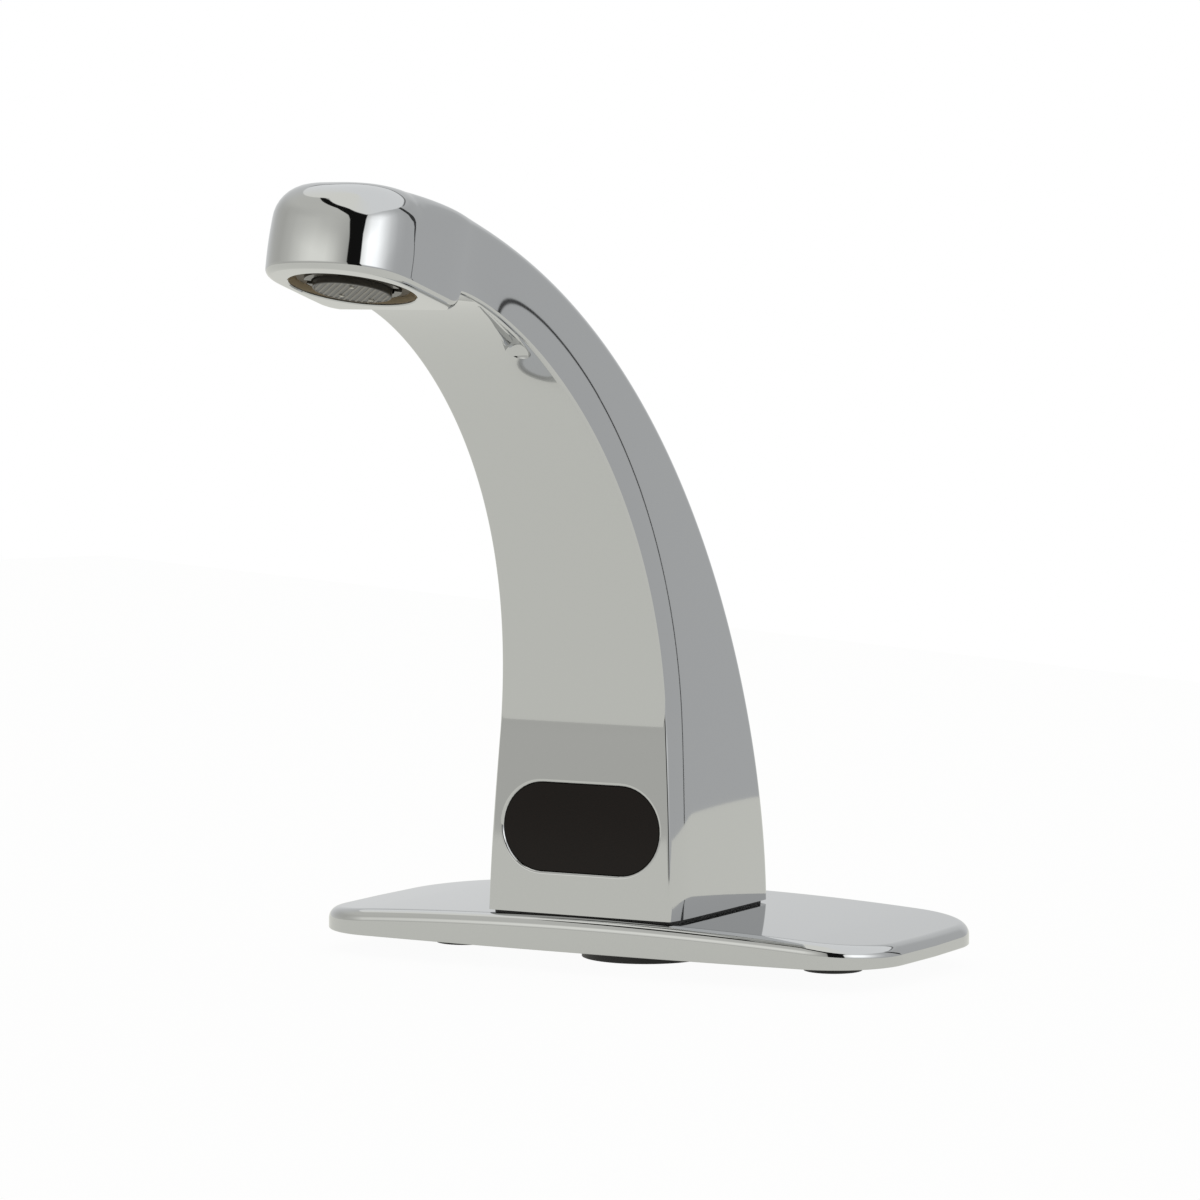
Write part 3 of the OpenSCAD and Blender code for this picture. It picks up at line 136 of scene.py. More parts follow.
def head_point(s, h):
    """A place on the head, in the plane of symmetry: s towards the nose, h up from the outlet's plane."""
    return Vector((-reach, outlet_z)) + reach_tilt * s + head_up * h


foot_low = Vector((-body_front, body_z))
foot_top = Vector((-body_front + foot_lean, body_z + foot_height))
arch_front_end = head_point(-pad_back, pad_step)
arch_back_end = head_point(-pad_back, head_height)
foot_back = Vector((body_back, body_z))


def along_arch(shares):
    """A step of these shares of the reach, backwards, and of the rise."""
    return Vector((reach * shares[0], rise * shares[1]))


front_curve = [foot_top, foot_top + (foot_top - foot_low) * front_lead_share,
               arch_front_end + along_arch(front_end_shares), arch_front_end]
back_curve = [foot_back, foot_back + along_arch(back_start_shares),
              arch_back_end - reach_tilt * reach * back_end_share, arch_back_end]


def front_at(t):
    """The arch's front face in the plane of symmetry, from its foot at 0 to the head at 1."""
    if t < foot_share:
        return mix(foot_low, foot_top, t / foot_share)
    return bezier(front_curve, (t - foot_share) / (1 - foot_share))


def back_at(t):
    """The arch's back face in the plane of symmetry, from its foot at 0 to the head at 1."""
    return bezier(back_curve, t + back_lead_share * t * t * (1 - t))


def width_at(t):
    """The width of body and arch, from the foot at 0 to the head at 1."""
    return bezier([mix(2 * head_half, body_width, share) for share in width_shares], t)


flat_steps = 6
front_arc_steps = 6
side_steps = 22
back_arc_steps = 10
half_count = 2 * flat_steps + front_arc_steps + side_steps + back_arc_steps


def half_section(out, depth, front_r, back_r, swell, dip=0, rolled=0):
    """Right half of a section, from the middle of its front to the middle of its back, as (out, along).
    With a dip, the back slopes down by that much towards the side. Its sides are rolled in at the front."""
    low = depth - dip
    edge = out - rolled
    points = [(mix(0, edge - front_r, i / flat_steps), 0) for i in range(flat_steps)]
    for i in range(front_arc_steps):
        a = pi / 2 * i / front_arc_steps
        points.append((edge - front_r + front_r * sin(a), front_r - front_r * cos(a)))
    for i in range(side_steps):
        share = (i / side_steps) ** 2
        q = mix(front_r, low - back_r, share)
        roll_in = rolled * max(0, 1 - (q - front_r) / roll_run) ** 2
        points.append((out + swell * sin(pi * share) - roll_in, q))
    for i in range(back_arc_steps):
        a = pi / 2 * i / back_arc_steps
        points.append((out - back_r + back_r * cos(a), low - back_r + back_r * sin(a)))
    for i in range(flat_steps + 1):
        share = i / flat_steps
        points.append((mix(out - back_r, 0, share), depth - dip * (1 - share) ** 2))
    return points


def ring_of(half, origin, along):
    """The closed ring of a half section, its right side first, as places in metres."""
    right = [Vector((out, *(origin + along * q))) for out, q in half]
    left = [Vector((-p.x, p.y, p.z)) for p in reversed(right[1:-1])]
    return [p * mm for p in right + left]


def arch_ring(t, inset=0):
    """The ring of the arch at t, or of its hollow, which lies inset from its faces."""
    a, b = front_at(t), back_at(t)
    along = (b - a).normalized()
    late = max(0, (t - soften_share) / (1 - soften_share))
    back_r = mix(back_edge_r, nose_edge_r * neck_edge_share, late * late)
    back_r = max(back_r - inset, hollow_edge_r)
    front_r = hollow_edge_r if inset else front_edge_r
    rolled = 0 if inset else roll * (1 - late ** roll_fade_power) ** 2
    out = width_at(t) / 2 - inset + rolled * roll_out_share
    swell = side_swell * (1 - late)
    half = half_section(out, (b - a).length - 2 * inset, front_r, back_r, swell, rolled=rolled)
    return ring_of(half, a + along * inset, along)


def head_ring(s):
    """The ring of the head at s, in the straight stretch behind its nose."""
    share = (s + pad_back) / (nose_start + pad_back)
    near = min(1, (s + pad_back) / pad_corner_r)
    rim_r = rim_edge_r + (pad_corner_r - rim_edge_r) * (1 - sqrt(1 - (1 - near) ** 2))
    back_r = nose_edge_r * mix(neck_edge_share, shoulder_edge_share, share ** shoulder_power)
    out = head_half - neck_in * max(0, 1 - (s + pad_back) / neck_run) ** 2
    return ring_of(half_section(out, head_height, rim_r, back_r, head_swell * share),
                   head_point(s, 0), head_up)


def nose_chain(angle):
    """Half a section through the nose, from its middle below to its middle above, in metres."""
    out_x = head_half * abs(cos(angle)) ** (2 / nose_power)
    out_s = (nose_reach - nose_start) * abs(sin(angle)) ** (2 / nose_power)
    out = hypot(out_x, out_s)
    side = -1 if angle > pi / 2 else 1
    back_r = nose_edge_r * mix(shoulder_edge_share, 1, sin(angle))
    chain = []
    for q, h in half_section(out, head_height, rim_edge_r, back_r, head_swell, nose_drop * sin(angle)):
        y, z = head_point(nose_start + q * out_s / out, h)
        chain.append(Vector((side * q * out_x / out, y, z)) * mm)
    return chain


def begin_ring(bm, points):
    """A closed ring of corners at these places."""
    ring = bmesh.ops.create_circle(bm, segments=len(points), radius=1)["verts"]
    for corner, place in zip(ring, points):
        corner.co = place
    return ring


def grow(bm, row, points, closed=True):
    """Extrudes a row of corners, and puts the new ones at these places."""
    pairs = list(zip(row, row[1:] + row[:1])) if closed else list(zip(row, row[1:]))
    edges = [next(e for e in a.link_edges if e.other_vert(a) is b) for a, b in pairs]
    before = {e for a in row for e in a.link_edges}
    bmesh.ops.extrude_edge_only(bm, edges=edges)
    new = []
    for corner, place in zip(row, points):
        rung = next(e for e in corner.link_edges if e not in before)
        new.append(rung.other_vert(corner))
        new[-1].co = place
    return new


def close_ring(bm, row):
    """Fills a closed ring with one face."""
    pairs = zip(row, row[1:] + row[:1])
    bmesh.ops.contextual_create(bm, geom=[next(e for e in a.link_edges if e.other_vert(a) is b)
                                          for a, b in pairs])


merge_gap = 0.002


def finished(name, bm):
    """Makes the object of a mesh that is closed: doubles merged, faces outwards."""
    bmesh.ops.remove_doubles(bm, verts=bm.verts, dist=merge_gap * mm)
    bmesh.ops.recalc_face_normals(bm, faces=bm.faces)
    mesh = bpy.data.meshes.new(name)
    bm.to_mesh(mesh)
    bm.free()
    piece = bpy.data.objects.new(name, mesh)
    bpy.context.scene.collection.objects.link(piece)
    return piece


def carve(piece, *tools):
    """Cuts the tools out of the piece, and throws the tools away."""
    for tool in tools:
        cut = piece.modifiers.new(tool.name, "BOOLEAN")
        cut.operation = "DIFFERENCE"
        cut.solver = "EXACT"
        cut.object = tool
    bpy.context.view_layer.update()
    carved = bpy.data.meshes.new_from_object(piece.evaluated_get(bpy.context.evaluated_depsgraph_get()))
    piece.modifiers.clear()
    piece.data = carved
    for tool in tools:
        bpy.data.objects.remove(tool)
    bm = bmesh.new()
    bm.from_mesh(carved)
    bmesh.ops.remove_doubles(bm, verts=bm.verts, dist=merge_gap * mm)
    bmesh.ops.dissolve_degenerate(bm, edges=bm.edges, dist=merge_gap * mm)
    bm.to_mesh(carved)
    bm.free()


def shade(piece, sharp_from=32):
    """Smooth shading that breaks at true edges, with the normals led by the large faces."""
    bm = bmesh.new()
    bm.from_mesh(piece.data)
    for face in bm.faces:
        face.smooth = True
    for edge in bm.edges:
        edge.smooth = len(edge.link_faces) == 2 and degrees(edge.calc_face_angle(0)) < sharp_from
    bm.to_mesh(piece.data)
    bm.free()
    weights = piece.modifiers.new("normals", "WEIGHTED_NORMAL")
    weights.keep_sharp = True


def settle(bm, *turns):
    """Moves a whole mesh by these matrices, the last one first."""
    for turn in reversed(turns):
        bmesh.ops.transform(bm, matrix=turn, verts=bm.verts)


arch_steps = 130
head_steps = 24
nose_steps = 72
head_growth = 1.3
casting_mesh = bmesh.new()
ring = begin_ring(casting_mesh, arch_ring(0))
close_ring(casting_mesh, ring)
for i in range(1, arch_steps + 1):
    ring = grow(casting_mesh, ring, arch_ring(i / arch_steps))
for i in range(head_steps + 1):
    s = mix(-pad_back + pad_step_run, nose_start, (i / head_steps) ** head_growth)
    ring = grow(casting_mesh, ring, head_ring(s))
chain = ring[:half_count + 1]
for i in range(1, nose_steps + 1):
    chain = grow(casting_mesh, chain, nose_chain(pi * i / nose_steps), closed=False)
casting = finished("casting", casting_mesh)

# What is cut out of it: the hollow, the window with its rounded rim, the mouth, and one teardrop
window_z = 29.1
window_w = 42
window_h = 21.1
bezel_r = 0.8
bezel_steps = 8
mouth_r = 14.1
mouth_depth = 4
mouth_edge = 0.25
thread_r = 12.6
thread_depth = 9.5
pocket_r = 9.5
pocket_high = 18
hollow_steps = 40
hollow_end_share = 0.97
window_corner_steps = 24
turn_steps = 128
overrun = 1
lean = atan(foot_lean / foot_height)
face_y = -body_front + (window_z - body_z) * tan(lean)
in_window = Matrix.Translation(Vector((0, face_y, window_z)) * mm) @ Matrix.Rotation(-lean, 4, "X")
in_outlet = Matrix.Translation(Vector((0, -reach, outlet_z)) * mm) @ Matrix.Rotation(-outlet_tilt, 4, "X")

hollow_mesh = bmesh.new()
low_ring = [p - Vector((0, 0, overrun * mm)) for p in arch_ring(0, body_wall)]
ring = begin_ring(hollow_mesh, low_ring)
close_ring(hollow_mesh, ring)
for i in range(hollow_steps + 1):
    ring = grow(hollow_mesh, ring, arch_ring(i / hollow_steps * hollow_end_share, body_wall))
close_ring(hollow_mesh, ring)
hollow = finished("hollow", hollow_mesh)


def slab_ring(w, h, depth):
    """A ring with round ends at this depth behind the body's face, in the window's frame."""
    points = []
    for side in (1, -1):
        for i in range(window_corner_steps + 1):
            a = side * pi / 2 - side * pi * i / window_corner_steps
            points.append(Vector((side * (w - h) / 2 + side * h / 2 * cos(a), depth, h / 2 * sin(a))) * mm)
    return points


window_mesh = bmesh.new()
widest = 2 * bezel_r
ring = begin_ring(window_mesh, slab_ring(window_w + widest, window_h + widest, -overrun))
close_ring(window_mesh, ring)
for i in range(bezel_steps + 1):
    a = pi / 2 * i / bezel_steps
    wider = widest * (1 - sin(a))
    ring = grow(window_mesh, ring, slab_ring(window_w + wider, window_h + wider, bezel_r * (1 - cos(a))))
ring = grow(window_mesh, ring, slab_ring(window_w, window_h, body_wall + overrun))
close_ring(window_mesh, ring)
settle(window_mesh, in_window)
window_cut = finished("window_cut", window_mesh)


def turned(name, profile, place):
    """A solid of revolution about its own +Z, from (radius, height) pairs that start and end on the axis."""
    bm = bmesh.new()
    row = [bm.verts.new(Vector((r, 0, z)) * mm) for r, z in profile]
    edges = [bm.edges.new(pair) for pair in zip(row, row[1:])]
    bmesh.ops.spin(bm, geom=row + edges, axis=(0, 0, 1), cent=(0, 0, 0), angle=2 * pi, steps=turn_steps,
                   use_merge=True)
    settle(bm, place)
    return finished(name, bm)


mouth_cut = turned("mouth_cut", [
    (0, -overrun), (mouth_r + mouth_edge + overrun, -overrun), (mouth_r, mouth_edge), (mouth_r, mouth_depth),
    (thread_r, mouth_depth), (thread_r, thread_depth), (pocket_r, thread_depth), (pocket_r, pocket_high),
    (0, pocket_high)], in_outlet)

# The teardrop lies on the right only, from just behind the outlet's pad to a round end in the arch
drop_r = 3.3
drop_tip_r = 0.3
drop_tip_share = (0.88, 0.9)
drop_end_share = (0.69, 0.745)
drop_sink = 1.2
drop_steps = 24
drop_tip_steps = 6


def in_arch(share, sink):
    """A place in the inner face of the arch: shares of its half width and along it, sunk into the metal."""
    y, z = front_at(share[1])
    return Vector((width_at(share[1]) / 2 * share[0], y + sink / 2, z + sink))


drop_tip = in_arch(drop_tip_share, 0)
drop_axis = in_arch(drop_end_share, -drop_sink) - drop_tip
drop_tangent = asin((drop_tip_r - drop_r) / drop_axis.length)
drop_profile = [(drop_tip_r * cos(a), drop_tip_r * sin(a))
                for a in (mix(-pi / 2, drop_tangent, i / drop_tip_steps) for i in range(drop_tip_steps + 1))]
for i in range(1, drop_steps):
    r = mix(drop_tip_r, drop_r, i / drop_steps)
    drop_profile.append((r * cos(drop_tangent), drop_axis.length * i / drop_steps + r * sin(drop_tangent)))
for i in range(drop_steps + 1):
    a = mix(drop_tangent, pi / 2, i / drop_steps)
    drop_profile.append((drop_r * cos(a), drop_axis.length + drop_r * sin(a)))
teardrop = turned("teardrop", drop_profile, Matrix.Translation(drop_tip * mm)
                  @ drop_axis.to_track_quat("Z", "Y").to_matrix().to_4x4())

carve(casting, hollow, window_cut, mouth_cut, teardrop)

# The flat face round the window goes back to two large faces, so that it stays flat in the light
face_match = 0.999999
casting_sharp_from = 17
face_out = Vector((0, -cos(lean), sin(lean)))
casting_mesh = bmesh.new()
casting_mesh.from_mesh(casting.data)
for side in (1, -1):
    flat = [f for f in casting_mesh.faces if f.normal.dot(face_out) > face_match
            and f.calc_center_median().x * side > 0]
    bmesh.ops.dissolve_faces(casting_mesh, faces=flat)
casting_mesh.to_mesh(casting.data)
casting_mesh.free()
shade(casting, casting_sharp_from)


# Finishes are made of nodes, whose arithmetic is written as plain sums of wires
class Wire:
    """A value in a finish, with the arithmetic that is used on it."""

    def __init__(self, sheet, socket):
        self.sheet = sheet
        self.socket = socket

    def maths(self, operation, *others):
        return self.sheet.node("ShaderNodeMath", [self, *others], operation=operation)

    def __add__(self, other):
        return self.maths("ADD", other)

    def __sub__(self, other):
        return self.maths("SUBTRACT", other)

    def __mul__(self, other):
        return self.maths("MULTIPLY", other)

    def __rsub__(self, other):
        return self.sheet.node("ShaderNodeMath", [other, self], operation="SUBTRACT")

    __radd__ = __add__
    __rmul__ = __mul__

    def past(self, limit, soft=1.0):
        """0 below the limit, 1 above it, with a soft step between."""
        return self.sheet.node("ShaderNodeMapRange", {
            "Value": self, "From Min": limit - soft / 2, "From Max": limit + soft / 2},
            interpolation_type="SMOOTHSTEP")

    def to(self, other, share):
        """This value where the share is 0, and the other where it is 1."""
        return self + (other - self) * share


class Sheet:
    """The nodes of one material or of the world."""

    def __init__(self, owner):
        owner.use_nodes = True
        self.tree = owner.node_tree
        self.tree.nodes.clear()

    def raw(self, kind, inputs=(), stops=(), **settings):
        """Adds a node: first its settings and a ramp's stops, then the values or wires of its sockets."""
        made = self.tree.nodes.new(kind)
        for key, value in settings.items():
            setattr(made, key, value)
        if stops:
            steps = made.color_ramp.elements
            steps[0].position, steps[-1].position = stops[0][0], stops[-1][0]
            for place, _ in stops[1:-1]:
                steps.new(place)
            for step, (_, tone) in zip(steps, stops):
                step.color = (tone, tone, tone, 1)
        pairs = inputs.items() if isinstance(inputs, dict) else enumerate(inputs)
        for key, value in pairs:
            if isinstance(value, Wire):
                self.tree.links.new(value.socket, made.inputs[key])
            else:
                made.inputs[key].default_value = value
        return made

    def node(self, kind, inputs=(), output=0, **settings):
        return Wire(self, self.raw(kind, inputs, **settings).outputs[output])


cloud_scale = 60
cloud_detail = 4
grain_detail = 3
grain_depth = 0.1


def finish(name, colour, roughness, metallic=0.0, coat=0.0, grain=0.0, grain_scale=900, uneven=0.0,
           change=None, **sockets):
    """A finish whose roughness wanders a little, with a fine grain in its surface where one is given. A
    change is a function that alters some places of it."""
    material = bpy.data.materials.new(name)
    sheet = Sheet(material)
    place = sheet.node("ShaderNodeTexCoord", output="Object")
    cloud = sheet.node("ShaderNodeTexNoise", {"Vector": place, "Scale": cloud_scale, "Detail": cloud_detail})
    shader = {"Base Color": colour, "Metallic": metallic, "Coat Weight": coat,
              "Roughness": cloud * (2 * uneven) + (roughness - uneven), **sockets}
    if change:
        change(sheet, place, shader)
    if grain:
        fine = sheet.node("ShaderNodeTexNoise", {
            "Vector": place, "Scale": grain_scale, "Detail": grain_detail})
        shader["Normal"] = sheet.node("ShaderNodeBump", {
            "Height": fine, "Strength": grain, "Distance": grain_depth * mm}, output="Normal")
    out = sheet.node("ShaderNodeBsdfPrincipled", shader)
    sheet.raw("ShaderNodeOutputMaterial", [out])
    return material


bare_colour = (0.6, 0.49, 0.34, 1)
bare_roughness = 0.4
bare_metallic = 0.4
bare_depth = 0.5
bare_depth_soft = 0.4
bare_clear = 0.15
bare_clear_soft = 0.1


def bare_outlet(sheet, place, shader):
    """The plating ends inside the outlet, where the machined brass shows."""
    axis = Vector((0, *head_up))
    aside = sheet.node("ShaderNodeVectorMath", [place, in_outlet.translation], operation="SUBTRACT")
    along = sheet.node("ShaderNodeVectorMath", [aside, axis], output="Value", operation="DOT_PRODUCT")
    across = sheet.node("ShaderNodeVectorMath", [aside, axis], operation="CROSS_PRODUCT")
    out = sheet.node("ShaderNodeVectorMath", [across], output="Value", operation="LENGTH")
    deep = along * (1 / mm)
    bare = (deep.past(bare_depth, bare_depth_soft)
            * (1 - (out * (1 / mm)).past(mouth_r + bare_clear, bare_clear_soft))
            * (1 - deep.past(pocket_high + overrun)))
    shader["Base Color"] = sheet.node("ShaderNodeMix", {
        "Factor": bare, "A": shader["Base Color"], "B": bare_colour}, output="Result", data_type="RGBA")
    shader["Roughness"] = shader["Roughness"].to(bare_roughness, bare)
    shader["Metallic"] = 1 - bare * (1 - bare_metallic)


# Chrome plate over polished brass is a mirror with a faint blue, slightly uneven from its polishing
chrome = finish("chrome_plate", (0.55, 0.556, 0.56, 1), roughness=0.035, metallic=1.0, uneven=0.01,
                change=bare_outlet)
slot_of = {part["node"]: part["material_slot"] for part in frame["record"]["subparts"]}


def dress(material, *pieces, slot=None):
    """Gives this finish to these pieces, and to the CAD pieces of a slot."""
    for piece in [*pieces, *(node for name, node in nodes.items() if slot_of[name] == slot)]:
        piece.data.materials.clear()
        piece.data.materials.append(material)


dress(chrome, casting, slot="chrome")
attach(casting, "root")
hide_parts("spout_casting")


# Deck plate
# A hollow brass casting, polished and chrome plated like the body. Its long sides bow out a little,
# its ends are round, and its top is lower at the ends than under the body.
plate_top = 8.2
plate_half_w = 36.2
plate_half_l = 77.7
plate_side_bow = 3
plate_end_bow = 0.5
plate_corner_r = 18.8
plate_edge_r = 3
plate_foot_edge = 0.2
plate_crown = 3.1
plate_wall = 2.2
gasket_h = 1.8
spigot_hole_r = 15.7
corner_steps = 28
corner_start = radians(2)
side_points = 40
corner_x = plate_half_l - plate_end_bow - plate_corner_r


def plate_side_y(x):
    """How far the plate's bowed side lies from its middle line."""
    return plate_half_w - plate_side_bow * (x / plate_half_l) ** 2


side_slope = 2 * plate_side_bow * corner_x / plate_half_l ** 2


def plate_quarter(inset):
    """The plate's outline from the middle of its right end to its back, set in by this much."""
    points = [(plate_half_l - inset, 0)]
    for i in range(corner_steps + 1):
        a = mix(corner_start, pi / 2 - atan(side_slope), i / corner_steps)
        r = plate_corner_r - inset
        points.append((corner_x + r * cos(a), plate_side_y(corner_x) - plate_corner_r + r * sin(a)))
    for i in range(1, side_points):
        x = corner_x * (1 - i / side_points)
        points.append((x, plate_side_y(x) - inset))
    return points


def plate_outline(inset):
    """The whole outline, anticlockwise from the middle of the right end."""
    quarter = plate_quarter(inset)
    back = quarter + [(0, plate_half_w - inset)] + [(-x, y) for x, y in reversed(quarter)]
    return back + [(x, -y) for x, y in reversed(back[1:-1])]


full_outline = plate_outline(0)


def plate_ring(inset, height_at):
    """The outline set in by this much, at heights that follow the full outline's x, in metres."""
    return [Vector((x, y, height_at(full[0]))) * mm
            for (x, y), full in zip(plate_outline(inset), full_outline)]


def crown_z(x):
    """The height of the plate's top, which falls away towards its ends."""
    return plate_top - plate_crown * (x / plate_half_l) ** 2


plate_mesh = bmesh.new()
edge_steps = 10
ring = begin_ring(plate_mesh, plate_ring(plate_wall, lambda x: gasket_h))
close_ring(plate_mesh, ring)
ring = grow(plate_mesh, ring, plate_ring(plate_wall, lambda x: 0))
ring = grow(plate_mesh, ring, plate_ring(plate_foot_edge, lambda x: 0))
ring = grow(plate_mesh, ring, plate_ring(0, lambda x: plate_foot_edge))
for i in range(edge_steps + 1):
    a = pi / 2 * i / edge_steps
    ring = grow(plate_mesh, ring, plate_ring(
        plate_edge_r * (1 - cos(a)), lambda x: crown_z(x) - plate_edge_r * (1 - sin(a))))
half = len(ring) // 2
sides = [ring[1:half], ring[:half:-1]]
links = [next(e for e in a.link_edges if e.other_vert(a) is b)
         for side in sides for a, b in zip(side, side[1:])]
bmesh.ops.bridge_loops(plate_mesh, edges=links)
bmesh.ops.holes_fill(plate_mesh, edges=plate_mesh.edges, sides=4)
plate = finished("plate", plate_mesh)
carve(plate, turned("spigot_hole", [(0, -overrun), (spigot_hole_r, -overrun),
                                    (spigot_hole_r, plate_top + overrun), (0, plate_top + overrun)],
                    Matrix.Identity(4)))
shade(plate)
dress(chrome, plate)
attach(plate, "root")
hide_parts("cover_plate")


# Seals
# Rubber gaskets and rings keep water in or out of the joints, each squeezed by the pieces that it parts. A
# sheet of foam under the plate takes up what isn't flat in the deck.
rubber = finish("rubber", (0.018, 0.018, 0.018, 1), roughness=0.55, grain=0.1)
foam = finish("foam", (0.025, 0.025, 0.026, 1), roughness=0.9, grain=0.5, grain_scale=1500)
dress(rubber, slot="rubber")
dress(foam, slot="foam")


# Base and plugs
# The base that closes the body, the plate's plugs, the power socket and the sensor's box are moulded in
# black plastic. Screws hold all but the socket, whose pins are plated with gold.
black_plastic = finish("black_plastic", (0.02, 0.02, 0.022, 1), roughness=0.42, grain=0.15)
contact_gold = finish("contact_gold", (0.85, 0.65, 0.3, 1), roughness=0.2, metallic=1.0, uneven=0.05)
dress(black_plastic, slot="black_plastic")
dress(contact_gold, slot="contact_gold")


# Sensor
# The window is a dark moulding that lets infrared through. Behind it a printed board carries an infrared
# diode and a receiver, in tinted clear cases.
window_plastic = finish("window_plastic", (0.006, 0.003, 0.002, 1), roughness=0.1, uneven=0.02, IOR=1.3)
board_green = finish("board_green", (0.01, 0.11, 0.04, 1), roughness=0.35, coat=0.4, uneven=0.05)
diode_lens = finish("diode_lens", (0.1, 0.06, 0.18, 1), roughness=0.1, coat=0.5, uneven=0.02)
receiver_lens = finish("receiver_lens", (0.02, 0.014, 0.035, 1), roughness=0.1, coat=0.5, uneven=0.02)
dress(window_plastic, slot="window_plastic")
dress(board_green, slot="board_green")
dress(diode_lens, slot="diode_lens")
dress(receiver_lens, slot="receiver_lens")


# Valve and solenoid
# The valve's body, cover and fittings are machined brass. The strainer, the solenoid's core and yoke and all
# screws are stainless steel, and the piston and the check valve's cartridge are moulded in ivory plastic.
brass = finish("brass", (0.42, 0.31, 0.17, 1), roughness=0.35, metallic=1.0, uneven=0.08)
steel = finish("steel", (0.6, 0.6, 0.61, 1), roughness=0.3, metallic=1.0, uneven=0.08)
ivory_plastic = finish("ivory_plastic", (0.75, 0.72, 0.6, 1), roughness=0.4, uneven=0.05)
winding = finish("winding", (0.02, 0.02, 0.022, 1), roughness=0.35, uneven=0.06)
dress(brass, slot="brass")
dress(steel, slot="steel")
dress(ivory_plastic, slot="ivory_plastic")
dress(winding, slot="winding")


# Leads and hose
# Two insulated leads run from the sensor's box, one to the power socket and one to the coil. A plain white
# hose takes the water up through the arch, with a brass ferrule pressed on at each end.
lead_black = finish("lead_black", (0.02, 0.02, 0.02, 1), roughness=0.5, uneven=0.05)
lead_red = finish("lead_red", (0.4, 0.02, 0.015, 1), roughness=0.5, uneven=0.05)
hose_white = finish("hose_white", (0.75, 0.75, 0.72, 1), roughness=0.4, uneven=0.05)
dress(lead_black, slot="lead_black")
dress(lead_red, slot="lead_red")
dress(hose_white, slot="hose_white")


# Outlet insert
# The insert's face is a moulded disc with a thin rim and parallel ribs, just proud of the outlet's mouth.
# It turns with its housing. Three small lugs among the ribs are coloured pale, a painted highlight for the
# light they catch.
face_r = 8.7
face_in_r = 8.2
face_z = -0.6
face_floor = -0.52
face_back = 6
face_round = 0.15
rib_w = 0.5
rib_pitch = 1.25
rib_taper = 0.03
rib_count = 6
rib_turn = 43
lugs = ((2.8, 4.7), (-4.1, -2.5), (1.1, -6.4))
lug_w = 0.85
lug_rise = 0.2
face = turned("face", [
    (0, face_floor), (face_in_r, face_floor), (face_in_r, face_z + face_round),
    (face_in_r + face_round, face_z), (face_r - face_round, face_z), (face_r, face_z + face_round),
    (face_r, face_back), (0, face_back)], in_outlet)


def rib_half_l(out):
    """Half the length of a rib at this distance from the middle, so that it ends in the rim."""
    return sqrt((face_in_r + face_round) ** 2 - out ** 2)


def bars(name, plots, turn):
    """Tapered bars that stand on the face's floor: (x, y, half length, half width, height) in its frame."""
    bm = bmesh.new()
    for x, y, half_l, half_w, low in plots:
        ring = None
        for z, less in ((face_floor + face_round, 0), (low + rib_taper, 0), (low, rib_taper)):
            corners = [Vector((x + a * (half_w - less), y + b * (half_l - less), z)) * mm
                       for a, b in ((-1, -1), (1, -1), (1, 1), (-1, 1))]
            if ring:
                ring = grow(bm, ring, corners)
            else:
                ring = begin_ring(bm, corners)
                close_ring(bm, ring)
        close_ring(bm, ring)
    settle(bm, in_outlet @ Matrix.Rotation(radians(turn), 4, "Z"))
    return finished(name, bm)


rib_places = [i * rib_pitch for i in range(-rib_count, rib_count + 1)]
ribs = bars("ribs", [(x, 0, rib_half_l(x), rib_w / 2, face_z) for x in rib_places], rib_turn)
marks = bars("marks", [(x, -y, lug_w / 2, lug_w / 2, face_z - lug_rise) for x, y in lugs], 0)
insert_plastic = finish("insert_plastic", (0.08, 0.073, 0.06, 1), roughness=0.28, metallic=0.3, uneven=0.05)
spray_plastic = finish("spray_plastic", (0.17, 0.155, 0.13, 1), roughness=0.4, grain=0.05)
# The brass ring in the outlet is coloured dark brown, painted shade for the recess it lies in
painted_shade_brass = finish("painted_shade_brass", (0.09, 0.07, 0.045, 1), roughness=0.5, metallic=0.9, uneven=0.08)
face_plastic = finish("face_plastic", (0.03, 0.027, 0.022, 1), roughness=0.35)
# The lugs' pale colour is a painted highlight, for the light that the small lugs catch
lug_painted_highlight = finish("lug_painted_highlight", (0.5, 0.48, 0.43, 1), roughness=0.35)
dress(insert_plastic, slot="insert_plastic")
dress(spray_plastic, ribs, slot="spray_plastic")
# Painted shade: the outlet's brass ring takes the dark brass colour
dress(painted_shade_brass, nodes["outlet_adapter"])
dress(face_plastic, face)
dress(lug_painted_highlight, marks)
for piece in (face, ribs, marks):
    shade(piece)
    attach(piece, "aerator_body")
    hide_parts("aerator_insert")


# Springs
# Two springs of steel wire, one in the non-return valve and one over the solenoid's plunger.
for name, body in (("check_spring", "check_body"), ("plunger_spring", "plunger_body")):
    spring = bpy.data.objects.new(name + "_wound", nodes[name].data.copy())
    bpy.context.scene.collection.objects.link(spring)
    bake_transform(spring)
    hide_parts(name)
    dress(steel, spring)


# Studio
# The tap stands on a pale table in a soft light tent. The chrome mirrors the table's far edge, the tent's
# two bright sides, the dark slot that the camera looks through, and the seams of the cloth.
# The table lies 0.2 mm under the spigot's end, in millimetres, and its edges are so many metres away
floor_z = -5.2
floor_turn = radians(29)
floor_near = 0.95
floor_far = 0.6
floor_side = 1.5
table_colour = (0.8, 0.8, 0.76, 1)
table_mirrored_colour = (0.87, 0.87, 0.81, 1)
table_mirrored_share = 0.8
table_seen_share = 0.96
plain_white = (1, 1, 1, 1)
floor_mesh = bmesh.new()
bmesh.ops.create_grid(floor_mesh, x_segments=1, y_segments=1, size=1)
settle(floor_mesh, Matrix.Rotation(-floor_turn, 4, "Z"),
       Matrix.Translation((0, (floor_far - floor_near) / 2, floor_z * mm)),
       Matrix.Diagonal((floor_side, (floor_far + floor_near) / 2, 1, 1)))
floor = finished("floor", floor_mesh)
floor_paint = bpy.data.materials.new("floor_paint")
sheet = Sheet(floor_paint)
